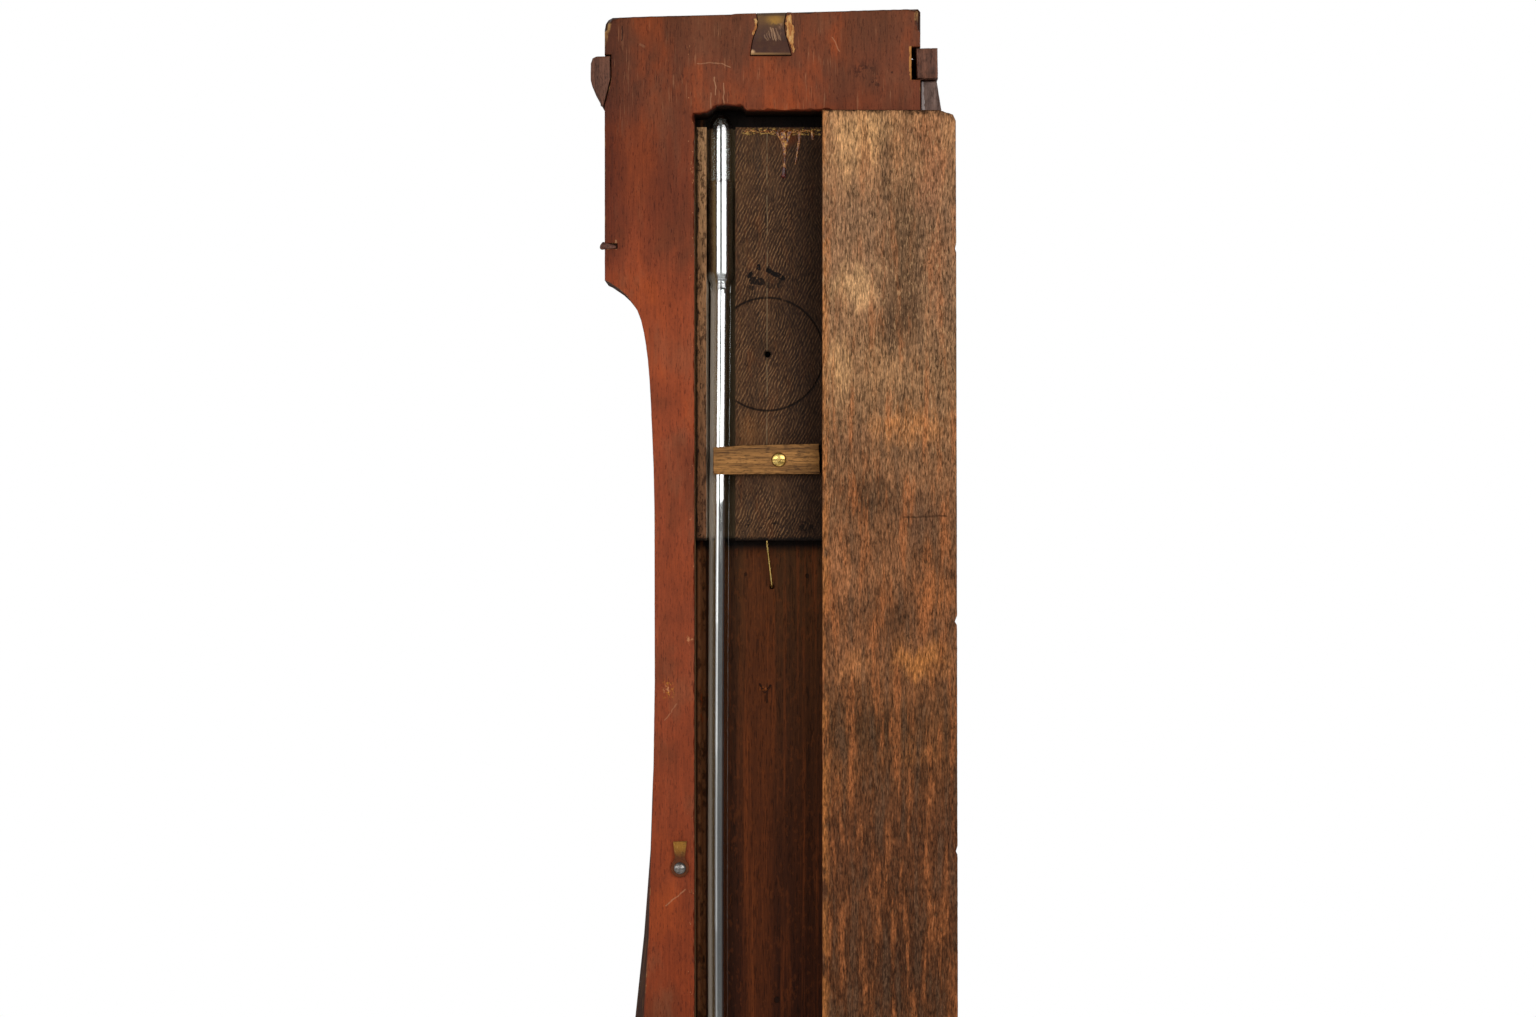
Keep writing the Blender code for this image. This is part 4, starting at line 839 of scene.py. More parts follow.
def small_wood(name, dark, light, along="x", seed=0.0, roughness=0.6, spots=0.5, streak=None):
    """Plain grain for small pieces whose fibres run along x or z."""
    g = Graph(name)
    stretch = (26, 1, 1) if along == "x" else (1, 1, 26)
    fine = g.noise(0.36, stretch, 4, 0.65, shift=seed)
    broad = g.noise(2.4, stretch, 3, 0.6, 0.3, shift=seed + 2)
    both = fine * 0.5 + broad * 0.5
    g.colour = g.ramp(both, (0.15, dark), (0.8, light))
    short = (6, 1, 1) if along == "x" else (1, 1, 6)
    fleck = g.rise(g.noise(0.4, short, 2, 0.5, shift=seed + 5), 0.66, 0.82)
    g.tint(fleck * spots, "#1d1009")
    dirt = g.noise(4, detail=4, shift=seed + 9)
    g.tint(g.rise(dirt, 0.6, 0.9) * 0.35, "#2a1a12")
    # streak paints a pale highlight strip along a line
    if streak:
        g.tint(g.strokes(g.flat_at(1.5, 4), streak) * g.rise(both, 0.1, 0.5, 0.5, 1.0), "#b9aca8")
    g.bump(both, 0.1, 0.7)
    g.bump(fleck, -0.1, 0.7)
    return g.finish(roughness, Specular_IOR_Level=0.2)


def veneer_front():
    """Flame mahogany under polish."""
    g = Graph("polished_mahogany_veneer")
    sway = g.noise(60, (0.5, 1, 1.2), 3, 0.5, 0.8, shift=2) * 26
    rings = g.sine((abs(g.x) * 0.5 + g.z * 0.12 + sway) * 0.55)
    flame = g.noise(7, (0.8, 1, 5), 4, 0.6, 1.0, shift=5)
    g.colour = g.ramp(rings * 0.3 + flame * 0.7, (0.1, "#3f170a"), (0.5, "#5c2510"), (0.9, "#7f3c1a"))
    g.colour, _ = fibre(g, g.colour, 0.18, 0.3, 30, 12)
    fleck = pores(g, 0.3, 9, 0.3, 3.0)
    g.tint(fleck * 0.5, "#200a04")
    g.bump(fleck, -0.04, 0.4)
    return g.finish(0.24 + flame * 0.1, Specular_IOR_Level=0.5, Coat_Weight=0.6, Coat_Roughness=0.12)


# ---------------------------------------------------------------- metal, glass and the rest


def metal(name, bright, dull, tarnish, roughness=0.3, brushed=None, relief=0.03, scratch=0.3, seed=0.0):
    """Metal with patches of tarnish in it and fine scratches or brush marks."""
    g = Graph(name)
    cloud = g.noise(7, detail=5, rough=0.65, shift=seed)
    spots = g.noise(1.3, detail=4, rough=0.7, shift=seed + 4)
    g.colour = g.ramp(cloud * 0.6 + spots * 0.4, (0.2, dull), (0.75, bright))
    stain = g.rise(g.noise(2.6, detail=5, rough=0.7, shift=seed + 9), 0.52, 0.8)
    g.tint(stain * 0.7, tarnish)
    stretch = brushed or (0.6, 1, 5)
    marks = g.noise(0.3, stretch, 3, 0.6, 0.2, shift=seed + 2)
    fine = g.rise(marks, 0.72, 0.84)
    g.tint(fine * scratch, bright)
    g.bump(marks, relief, 0.6)
    g.bump(stain, -0.03, 0.5)
    rough = roughness + stain * 0.28 + g.rise(cloud, 0.2, 0.9) * 0.1
    return g.finish(rough, Metallic=1.0)


def hanging_brass():
    """The hanging plate: olive at its top, partly a painted highlight, brown and smooth on its lip, with a
    painted glint at one corner.
    """
    g = Graph("worn_hanging_brass")
    cloud = g.noise(3, detail=5, rough=0.65, shift=3)
    down = (9.0 - g.z) / 18.0
    g.colour = g.ramp(down, (0.0, "#574020"), (0.2, "#5d4526"), (0.45, "#4b3120"), (1.0, "#482c20"))
    # olive tarnish at the top, partly a painted highlight, and the upper part lightened as painted light
    # from above
    olive_and_highlight = g.blob(-5.2, 6.8, 5.0, 3.2)
    g.tint(olive_and_highlight * 0.85, "#b59a3c")
    g.tint(g.rise(g.z, 3.5, 8.5) * 0.4, "#8a7434")
    g.tint(g.rise(cloud, 0.5, 0.85) * 0.3, "#6f5836")
    g.tint(g.rise(cloud, 0.5, 0.15) * 0.5, "#2e1d14")
    g.tint(g.rise(g.z, -1.6, -2.6) * 0.3, "#5b3d30")
    wavy = g.flat_at(0.8, 3, 1.0)
    marks = g.strokes(
        wavy,
        (-3.4, 3.6, -4.6, -1.6, 0.1, 0.9), (-4.2, 3.2, -5.8, -1.8, 0.1, 1.0),
        (-2.8, 2.0, -3.4, -0.8, 0.08, 0.5), (-5.6, 3.0, -7.0, -1.2, 0.08, 0.5),
        (-6.4, 1.6, -7.6, -1.6, 0.1, 0.5), (-0.8, 0.4, -1.8, -2.0, 0.08, 0.5),
        (-1.8, 1.0, -2.6, -1.8, 0.06, 0.4), (-4.9, 1.8, -6.2, -1.4, 0.06, 0.7),
    )
    scratch = g.rise(g.noise(0.5, 6, 3, 0.6, shift=7), 0.62, 0.8) * g.blob(-4.5, 0.4, 6, 4.5)
    marks = g.top(marks, scratch * 0.5)
    g.tint(marks * 0.75, "#b3a288")
    pale = g.rise(g.noise(1.4, 2, 3, 0.6, shift=17), 0.45, 0.7) * g.blob(-7.6, 5.2, 1.6, 3.4)
    g.tint(pale * 0.6, "#a9927a")
    glint = g.blob(4.6, -7.0, 1.9, 1.5)
    g.tint(glint * 0.9, "#fbe9c0")
    rim = g.rise(g.z, -6.9, -7.7) * g.rise(g.y, 0.3, 1.0) * g.rise(g.x, -11, 1, 0.4, 1.0)
    g.tint(rim * 0.7, "#a89464")
    g.tint(g.rise(g.z, 8.2, 8.9) * 0.6, "#241710")
    g.bump(marks, -0.06, 0.8)
    g.bump(cloud, 0.06, 0.5)
    rough = 0.5 + cloud * 0.14 - glint * 0.25
    g.cast(0.85, 0.6, 0.46)
    return g.finish(rough, Metallic=0.35)


def button_brass():
    """The turn button: yellow where fingers push it, brown round the screw."""
    g = Graph("turn_button_brass")
    cloud = g.noise(2.4, detail=5, rough=0.7, shift=2)
    up = g.rise(abs(g.z - BUTTON_AXIS_Z), 4.0, 9.5)
    g.colour = g.mix(up, "#6b4026", "#a57f38")
    g.tint(g.rise(cloud, 0.45, 0.8) * 0.5, "#3f2a18")
    fleck = g.rise(g.noise(0.5, 3, 3, 0.6, shift=5), 0.7, 0.85)
    g.tint(fleck * 0.6 * up, "#d9bd72")
    g.bump(cloud, 0.12, 0.7)
    g.bump(fleck, -0.05)
    g.cast(0.84, 0.68, 0.6)
    return g.finish(0.4 + cloud * 0.2, Metallic=0.8)


def dusty_flank(g):
    """Where a painted reflection lies on the narrow limb, as a grey film: on the side that faces the
    channel's wall, stronger lower down.
    """
    facing = g.split(g.tree.nodes.new("ShaderNodeNewGeometry").outputs["Normal"])[0]
    limb = g.rise(g.x, 17.5, 18.5) * g.rise(g.z, -105, -109)
    return g.rise(facing, 0.4, 0.85) * limb * g.rise(g.z, -230, -420, 0.6, 0.88)


def clear(name, tint, roughness=0.015, ior=1.5, smear=0.03, dust=None, **sockets):
    """Old clear glass that lets lamps through, with faint smears; dust(graph) is where a grey diffuse film
    is laid on it as a painted reflection.
    """
    g = Graph(name)
    film = g.noise(6, 4, 4, 0.6, shift=2)
    g.colour = tint
    g.finish(roughness + g.rise(film, 0.5, 0.9) * smear, Transmission_Weight=1.0, IOR=ior, **sockets)
    through = g.tree.nodes.new("ShaderNodeBsdfTransparent")
    g.feed(through.inputs[0], tint)
    lamps = g.tree.nodes.new("ShaderNodeLightPath").outputs["Is Shadow Ray"]
    both = g.tree.nodes.new("ShaderNodeMixShader")
    g.tree.links.new(lamps, both.inputs[0])
    g.tree.links.new(g.shader.outputs[0], both.inputs[1])
    g.tree.links.new(through.outputs[0], both.inputs[2])
    surface = both.outputs[0]
    # painted reflection: a grey diffuse film mixed in where dust(graph) is high
    if dust:
        grey = g.tree.nodes.new("ShaderNodeBsdfDiffuse")
        g.feed(grey.inputs[0], "#c6bcaf")
        covered = g.tree.nodes.new("ShaderNodeMixShader")
        g.feed(covered.inputs[0], dust(g))
        g.feed(covered.inputs[1], surface)
        g.feed(covered.inputs[2], grey.outputs[0])
        surface = covered.outputs[0]
    g.tree.links.new(surface, g.output.inputs["Surface"])
    g.bump(film, 0.02, 0.3)
    g.feed(g.shader.inputs["Normal"], g.height)
    return g.material


def quicksilver():
    """Mercury, a little filmed over."""
    g = Graph("quicksilver")
    film = g.noise(9, 6, 4, 0.6, shift=4)
    g.colour = g.ramp(film, (0.2, "#d3d4d6"), (0.8, "#e6e6e4"))
    return g.finish(0.03 + g.rise(film, 0.4, 0.9) * 0.05, Metallic=1.0)


def ticks(g, turn, step, half):
    """1 on marks that repeat every step degrees of a wire in degrees."""
    off = g.math("PINGPONG", turn, step / 2)
    return g.rise(off, half, half * 0.6)


def polar(g, x, z):
    """Distance in mm and clockwise degrees from the top, seen from the front, round (x, z)."""
    across, up = g.x - x, g.z - z
    away = g.math("SQRT", across * across + up * up)
    turn = g.math("ARCTAN2", across, up) * (180 / math.pi)
    return away, turn


def silvered(name, marks):
    """Silvered brass with lines filled with black wax; marks(graph) gives where they are."""
    g = Graph(name)
    brushed = g.noise(0.4, (8, 1, 0.8), 3, 0.6, shift=4)
    cloud = g.noise(16, detail=5, rough=0.65, shift=2)
    g.colour = g.ramp(cloud, (0.15, "#cfccc2"), (0.85, "#e6e4dc"))
    spot = g.rise(g.noise(1.6, detail=4, rough=0.7, shift=8), 0.78, 0.9)
    g.tint(spot * 0.35, "#8d7a58")
    ink = marks(g)
    g.tint(ink * 0.95, "#0d0c0a")
    g.bump(brushed, 0.015, 0.4)
    g.bump(ink, -0.08, 0.7)
    share = 0.45 - ink * 0.45
    return g.finish(0.42 + cloud * 0.08 + ink * 0.2, Metallic=share)


DIAL_AT = middle_of("dial")
DIAL_X, DIAL_Z = DIAL_AT.x / MM, DIAL_AT.z / MM
TENTH_DEGREES = 12.0  # of the dial for a tenth of an inch
TEN_DEGREES = 13.0  # millimetres of the thermometer's scale for ten degrees
DEGREES_DOWN = 70.0  # the figure 30 stands this far below the scale's middle
FIGURE_LIFT = 0.02 * MM  # a figure stands this far off its plate


def dial_marks(g):
    """The dial's lines, to a hundredth of an inch, and the rings, rays and star inside them."""
    away, turn = polar(g, DIAL_X, DIAL_Z)
    whole = g.rise(abs(turn), 181, 180.5)
    rim = g.top(g.band(away, 99.5, 0.22, 0.15), g.band(away, 93.5, 0.16, 0.12))
    fine = ticks(g, turn, TENTH_DEGREES / 10, 0.17) * g.band(away, 95.6, 2.0, 0.1)
    tenth = ticks(g, turn, TENTH_DEGREES, 0.3) * g.band(away, 96.5, 3.0, 0.1)
    half = ticks(g, turn, TENTH_DEGREES / 2, 0.22) * g.band(away, 96.1, 2.5, 0.1)
    rings = g.top(g.band(away, 60, 0.25, 0.15), g.band(away, 58.3, 0.12, 0.12))
    rays = ticks(g, turn, 11.25, 0.8) * g.band(away, 24, 9, 0.3) * g.rise(away, 33, 15)
    petals = g.sine(turn * (math.pi / 22.5)) * 4.0
    star = g.band(away + petals, 40, 0.35, 0.2)
    vine = g.band(away + g.sine(turn * (math.pi / 7.5)) * 2.0, 52.5, 0.35, 0.2)
    return g.top(fine, half, tenth, rim, rings, star, vine, rays) * whole


def hygrometer_marks(g):
    """An arc of lines at the hygrometer's top, between two thin rings."""
    centre = middle_of("hygrometer_dial") / MM
    away, turn = polar(g, centre.x, centre.z)
    upper = g.rise(abs(turn), 62, 61)
    fine = ticks(g, turn, 3.0, 0.35) * g.band(away, 18.2, 1.0, 0.1)
    large = ticks(g, turn, 15.0, 0.45) * g.band(away, 17.7, 1.5, 0.1)
    lines = g.top(g.band(away, 19.4, 0.08, 0.1), g.band(away, 17.1, 0.06, 0.08))
    inner = g.band(away, 7.5, 0.08, 0.1) + g.band(away + g.sine(turn * (math.pi / 22.5)), 5.2, 0.12, 0.1)
    return g.math("MINIMUM", g.top(g.top(fine, large) * upper, lines, inner), 1.0)


def scale_marks(g):
    """The thermometer's plate: a degree line down each side of the tube, ten-degree lines longer."""
    low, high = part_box("thermometer_scale")
    middle = (low.z + high.z) / 2 / MM
    up = g.z - (middle - DEGREES_DOWN)
    side = abs(g.x)
    inside = g.band(up, 82, 78, 0.1)
    fine = ticks(g, up, TEN_DEGREES / 10, 0.11) * g.band(side, 6.0, 1.2, 0.08)
    five = ticks(g, up, TEN_DEGREES / 2, 0.13) * g.band(side, 6.6, 1.9, 0.08)
    ten = ticks(g, up, TEN_DEGREES, 0.15) * g.band(side, 7.2, 2.5, 0.08)
    lines = g.band(side, 4.7, 0.06, 0.08) + g.band(side, 14.2, 0.08, 0.1)
    border = g.top(lines, g.band(abs(g.z - middle), (high.z - low.z) / MM / 2 - 1.4, 0.08, 0.1))
    return g.math("MINIMUM", g.top(g.top(fine, five, ten) * inside, border), 1.0)


def level_marks(g):
    """The level plate's border and the scroll at each end."""
    low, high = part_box("level_plate")
    centre = (low + high) / 2 / MM
    edge_x = g.band(abs(g.x - centre.x), (high.x - low.x) / MM / 2 - 1.5, 0.1, 0.1)
    edge_z = g.band(abs(g.z - centre.z), (high.z - low.z) / MM / 2 - 1.5, 0.1, 0.1)
    scroll = g.band(g.z - centre.z + g.sine(g.x * 0.9) * 1.4, 0, 0.12, 0.12)
    return g.top(edge_x, edge_z, scroll * g.rise(abs(g.x - centre.x), 30, 31))


def bone():
    """The setting knob's turned bone."""
    g = Graph("turned_bone")
    grain = g.noise(0.5, (1, 6, 1), 3, 0.6, shift=2)
    cloud = g.noise(4, detail=4, shift=6)
    g.colour = g.ramp(cloud, (0.2, "#c9b48a"), (0.8, "#e6dabb"))
    g.tint(g.rise(grain, 0.65, 0.85) * 0.5, "#8a6f4a")
    g.bump(grain, -0.04, 0.6)
    return g.finish(0.36 + cloud * 0.1, Subsurface_Weight=0.1, Subsurface_Scale=0.002)


def twist(name, dark, light, pitch):
    """A twisted thread or gut cord."""
    g = Graph(name)
    strands = g.sine((g.z + g.x + g.y) * (2 * math.pi / pitch))
    fuzz = g.noise(0.3, detail=3, shift=3)
    g.colour = g.ramp(strands * 0.25 + fuzz * 0.5 + 0.25, (0.1, dark), (0.9, light))
    g.bump(strands, 0.05, 0.8)
    return g.finish(0.8)


def rusty_iron():
    g = Graph("rusty_iron")
    cloud = g.noise(1.6, detail=5, rough=0.7, shift=5)
    g.colour = g.ramp(cloud, (0.15, "#3a2119"), (0.55, "#5e392b"), (0.9, "#8a5a48"))
    g.bump(cloud, 0.2, 0.9)
    return g.finish(0.7, Metallic=0.2)


def dried_glue(name, deep, middle, bright, light):
    """Hide glue, glossy where it is thick; light is where its brightest tone begins, 0 to 1."""
    g = Graph(name)
    cloud = g.noise(1.0, 1.6, 4, 0.7, shift=3)
    g.colour = g.ramp(cloud, (0.2, deep), (0.5, middle), (light, bright))
    g.bump(cloud, 0.25, 0.8)
    return g.finish(0.2 + cloud * 0.15, Specular_IOR_Level=0.5, Coat_Weight=0.25, Coat_Roughness=0.1)


WOODS = {
    "stained": stained_back(),
    "door": raw_door(),
    "toothed": toothed_board(),
    "floor": channel_floor(),
    "veneer": veneer_front(),
    "clamp": small_wood("clamp_walnut", "#422710", "#b98246", "x", 3.0, 0.6),
    "block": small_wood("cornice_end_grain", "#351b10", "#754a37", "z", 8.0, 0.5),
    # the cove's streak is a painted highlight down its left edge
    "cove": small_wood("polished_cove", "#4a3630", "#8b6f62", "z", 14.0, 0.28, 0.2,
                       (-67.5, -18.5, -68.2, -32.0, 0.6, 0.85)),
    "box": small_wood("thermometer_box_mahogany", "#3f170a", "#8a4420", "z", 17.0, 0.3, 0.4),
}
BRASS = metal("aged_brass", "#d8b25e", "#8f6a2c", "#4a3518", 0.26, seed=1.0)
SCREW_BRASS = metal("bright_screw_brass", "#f2d384", "#c99a45", "#7a5a26", 0.22, (3, 1, 1), seed=5.0)
HANGING = hanging_brass()
BUTTON = button_brass()
STEEL = metal("screw_steel", "#a8a4a0", "#6b6560", "#3d3029", 0.3, seed=7.0)
BLUED = metal("blued_steel", "#27324f", "#10141f", "#0a0b0e", 0.22, (1, 1, 8), 0.01, 0.1, seed=9.0)
IRON = rusty_iron()
GLASS = clear("old_glass", "#f7f7f4")
COAT = {"Coat_Weight": 1.0, "Coat_IOR": 2.1, "Coat_Roughness": 0.012}
TUBE_GLASS = clear("tube_glass", "#eff1ee", 0.01, 1.52, 0.02, dusty_flank, **COAT)
SILVER = quicksilver()
BONE = bone()
SILK = twist("silk_thread", "#3c3020", "#b29a6c", 0.9)
GUT = twist("gut_cord", "#6b5228", "#cdb27a", 1.2)
GLUE = dried_glue("dried_hide_glue", "#341505", "#80420f", "#dca24e", 0.85)
DARK_GLUE = dried_glue("dark_glue_bead", "#260705", "#4a110a", "#85301a", 0.95)


# ---------------------------------------------------------------- the case and its boards


def case_wear(x, z):
    """Rim radius and chipping of the case back, in millimetres, at a point in metres."""
    x, z = x / MM, z / MM
    chips = max(0.0, hash_noise(x * MM, z * MM, 5.5, 3.0))
    small = 0.5 + 0.5 * hash_noise(x * MM, z * MM, 2.2, 8.0)
    if abs(x) < 12.5 and z > -8.9:  # the hanging plate's seat
        return 0.25, 0.12 * small
    if abs(x) < 29.5 and z > -35.0:  # the channel's top edge, torn by the chisel
        return 0.4 + 0.5 * small, 0.45 * small + 1.1 * chips
    if abs(x) < 30.5:
        return 0.3 + 0.3 * small, 0.25 * small + 0.8 * chips
    if z > 2.0:  # the top edge, with its two rubbed corners
        corner = max(0.0, (abs(x) - 60.5) / 6.5)
        return 0.8 + 0.5 * small + 1.1 * corner, 0.15 * small + 0.3 * chips + 0.8 * corner**2
    if z < -330.0:
        return 0.25, 0.08 * small
    return 0.45 + 0.4 * small, 0.12 * small + 0.3 * chips


def plain_wear(radius, back, size=4.0, seed=1.0):
    """A wear function of even strength: radius and chipping in millimetres."""

    def wear(x, z):
        chips = max(0.0, hash_noise(x, z, size, seed))
        small = 0.5 + 0.5 * hash_noise(x, z, size * 0.4, seed + 5)
        return radius * (0.6 + 0.8 * small), back * (0.3 * small + chips)

    return wear


def door_wear(x, z):
    """Rim radius and chipping of the door, in millimetres, at a point in metres."""
    chips = max(0.0, hash_noise(x, z, 3.0, 12.0))
    small = 0.5 + 0.5 * hash_noise(x, z, 1.2, 15.0)
    if z > -0.0332:  # saw-torn end grain
        return 0.5 + 0.5 * small, 0.5 * small + 0.5 * chips
    return 0.25 + 0.3 * small, 0.12 * small + 0.25 * chips


def worn(node, material, wear, step=1.5):
    """A CAD board with the rim of its back face rounded, chipped and torn."""
    bm = welded(node)
    bm.normal_update()
    level = max(v.co.y for v in bm.verts)
    worn_face(bm, level, wear, step * MM)
    stand_in(f"{node}_worn", node, bm, material, 38.0)


worn("case_back", WOODS["stained"], case_wear)
worn("back_door", WOODS["door"], door_wear, step=1.2)
worn("inner_board", WOODS["toothed"], plain_wear(0.25, 0.3))
worn("tube_clamp_upper", WOODS["clamp"], plain_wear(0.3, 0.35, 2.5, 6.0), step=1.0)
worn("tube_clamp_lower", WOODS["clamp"], plain_wear(0.3, 0.35, 2.5, 9.0), step=1.0)
worn("cornice_end_left", WOODS["block"], plain_wear(0.45, 0.3, 3.0, 16.0), step=1.0)
worn("cornice_end_right", WOODS["block"], plain_wear(0.45, 0.3, 3.0, 19.0), step=1.0)
skin("tube_rest_lower", WOODS["clamp"], 0.3)
skin("cornice_return_right", WOODS["cove"], 0.35)
skin("cornice_front", WOODS["veneer"], 0.5, segments=3)
skin("front_board", WOODS["floor"], 0.25)
skin("front_veneer", WOODS["veneer"], 0.15)
skin("thermometer_box", WOODS["box"], 0.5, segments=3)

# ---------------------------------------------------------------- brass, steel and iron


PLATE_BEVEL = 0.3 * MM  # in millimetres, so next to nothing: the plate's edges stay sharp


def make_hanging_plate():
    """The plate, without the step that its lip has in the CAD."""
    bm = welded("hanging_plate")
    for vert in bm.verts:  # the lip swells gently from the flat
        if vert.co.y > 1.0 * MM and vert.co.z > -5.0 * MM:
            vert.co.y = 0.3 * MM
    plate = stand_in("hanging_plate_worn", "hanging_plate", bm, HANGING, 50)
    round_edges(plate, PLATE_BEVEL, 3)


make_hanging_plate()
skin("turn_button_upper", BUTTON, 0.35, segments=3)
skin("turn_button_lower", BUTTON, 0.35, segments=3)
for part in ("turn_button_screw_upper", "turn_button_screw_lower"):
    skin(part, STEEL, 0.08)
for part in ("clamp_screw_upper", "clamp_screw_lower"):
    skin(part, SCREW_BRASS, 0.1)
skin("thermometer_pin", SCREW_BRASS, sharp=60)
for part in ("arbor_cock", "bezel_hinge_leaf", "hinge_lower_case_leaf", "hinge_lower_door_leaf",
             "hinge_upper_case_leaf", "hinge_upper_door_leaf", "set_sleeve"):
    skin(part, BRASS, 0.15)
for part in ("bezel", "hygrometer_bezel", "counterweight", "cock_screw"):
    skin(part, BRASS, 0.25)
for part in ("bezel_hinge_pin", "hinge_lower_pin", "hinge_upper_pin", "pointer_arbor"):
    skin(part, STEEL, 0.1)
for part in ("float_pulley", "set_spindle"):
    skin(part, BRASS, 0.1)
skin("set_hand", BRASS, 0.12)
skin("pointer", BLUED, 0.1)
skin("hygrometer_needle", BLUED, 0.08)
skin("float", IRON, 0.2)
skin("set_knob", BONE, 0.4, segments=3)
skin("set_cord", GUT, sharp=60)
skin("dial", silvered("silvered_dial", dial_marks), 0.1)
skin("dial_reveal", metal("silvered_reveal", "#d6d4ca", "#a39f92", "#7d6f55", 0.34, seed=12.0), 0.2)
skin("hygrometer_dial", silvered("silvered_hygrometer", hygrometer_marks), 0.08)
skin("thermometer_scale", silvered("silvered_scale", scale_marks), 0.08)
skin("level_plate", silvered("silvered_level", level_marks), 0.15)
skin("bezel_glass", GLASS)
skin("hygrometer_glass", GLASS, 0.15)
skin("thermometer_glass", GLASS, 0.2)
skin("thermometer_tube", TUBE_GLASS)
skin("level_vial", TUBE_GLASS)

# ---------------------------------------------------------------- the siphon tube and its mercury

TUBE_LOW, TUBE_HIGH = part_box("siphon_tube")
WIDE, WIDE_BORE, NARROW, NARROW_BORE = 5.5, 4.25, 4.3, 2.6
TUBE_Y = (TUBE_LOW.y + TUBE_HIGH.y) / 2
LONG_X = TUBE_HIGH.x - WIDE * MM
SHORT_X = TUBE_LOW.x + WIDE * MM
BULB_TOP, BULB_END = TUBE_HIGH.z / MM, -99.2
NECK = ((BULB_END, WIDE_BORE), (-100.8, WIDE_BORE - 0.35), (-102.0, WIDE_BORE - 1.2),
        (-103.2, NARROW_BORE + 0.45), (-104.4, NARROW_BORE), (-108.0, NARROW_BORE))
CUP_NARROW, CUP_END, CUP_RIM = -848.0, -841.0, -770.0
BEND_R = (LONG_X - SHORT_X) / 2
BEND_Z = TUBE_LOW.z + BEND_R + NARROW * MM
BULB_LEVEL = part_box("mercury_bulb")[1].z / MM
CUP_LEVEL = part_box("mercury_cup")[1].z / MM
LIMB_STEP = 5.0
BOW_START, BOW_LENGTH, BOW = -112.0, 508.0, 1.3  # where the long limb leans aside, and how far
TOUCH = 0.06  # mercury reaches this far into the glass, so that no air shows between them


def limbs(top_stations, cup_stations):
    """Places and radii along the tube: down the long limb, round the bend and up the short one.

    Stations are (z, radius) in millimetres; a slow waver keeps the glass from being too perfect.
    """
    path, radii = [], []

    def bowed(z):  # old glass is never quite straight
        share = min(1.0, max(0.0, (BOW_START - z) / BOW_LENGTH))
        return LONG_X + BOW * MM * math.sin(math.pi * share)

    for z, radius in top_stations:
        path.append(Vector((LONG_X, TUBE_Y, z * MM)))
        radii.append(radius * MM)
    last, radius = top_stations[-1]
    z = last - LIMB_STEP
    while z > BEND_Z / MM + 1:
        path.append(Vector((bowed(z), TUBE_Y, z * MM)))
        radii.append((radius + 0.035 * hash_noise(0.0, z * MM, 17, 4.0)) * MM)
        z -= LIMB_STEP
    middle = Vector(((LONG_X + SHORT_X) / 2, TUBE_Y, BEND_Z))
    for k in range(25):
        turn = math.pi * k / 24
        path.append(middle + BEND_R * Vector((math.cos(turn), 0, -math.sin(turn))))
        radii.append(radius * MM)
    for z, radius in cup_stations:
        path.append(Vector((SHORT_X, TUBE_Y, z * MM)))
        radii.append(radius * MM)
    return path, radii


def dome(top, wide, pinch):
    """A closed glass end drawn to a soft point."""
    shape = ((0.0, 0.02), (0.3, 0.3), (0.8, 0.48), (1.6, 0.63), (2.7, 0.76), (4.2, 0.87), (6.2, 0.945),
             (8.8, 0.985), (12.0, 1.0))
    return [(top - pinch * drop, wide * share) for drop, share in shape]


def bore_foot(grow=0.0):
    """The bore's stations from the bend up to the cup, wider by grow."""
    narrow, wide = NARROW_BORE + grow, WIDE_BORE + grow
    return [(-860.0, narrow), (CUP_NARROW, narrow), (-845.8, narrow + 0.5), (-843.2, wide - 0.8),
            (CUP_END, wide)]


def make_siphon():
    """The glass tube: its outside and its bore, joined at the cup's rim."""
    outside = dome(BULB_TOP, WIDE, 1.0)
    outside += [(z, WIDE + 0.03 * hash_noise(0.01, z * MM, 14, 2.0)) for z in range(-50, -97, -6)]
    outside += [(-99.4, WIDE), (-101.2, WIDE - 0.03), (-102.3, WIDE - 0.35), (-103.2, NARROW + 0.5),
                (-103.9, NARROW + 0.08), (-104.4, NARROW), (-105.0, NARROW + 0.22), (-106.0, NARROW + 0.25),
                (-107.2, NARROW + 0.06), (-110.0, NARROW)]
    cup = [(-860.0, NARROW), (CUP_NARROW, NARROW), (-846.0, NARROW + 0.3), (-843.5, WIDE - 0.5),
           (CUP_END, WIDE)]
    cup += [(z, WIDE) for z in range(-830, -771, -12)] + [(-771.0, WIDE), (CUP_RIM + 0.05, WIDE - 0.2)]
    bore = dome(BULB_TOP - 1.7, WIDE_BORE, 0.9)
    bore += [(-60.0, WIDE_BORE), (-80.0, WIDE_BORE), *NECK]
    inner_cup = bore_foot() + [(z, WIDE_BORE) for z in (-830.0, -800.0, -771.0)]
    inner_cup.append((CUP_RIM + 0.05, WIDE_BORE + 0.2))
    bm = bmesh.new()
    shells = []
    for top, low in ((outside, cup), (bore, inner_cup)):
        path, radii = limbs(top, low)
        rings = swept(bm, path, radii, count=48)
        cap(bm, rings[0], path[0] + Vector((0, 0, 0.02 * MM)))
        shells.append(rings)
    bridge(bm, shells[0][-1], shells[1][-1])
    stand_in("glass_siphon_tube", "siphon_tube", bm, TUBE_GLASS, 60)


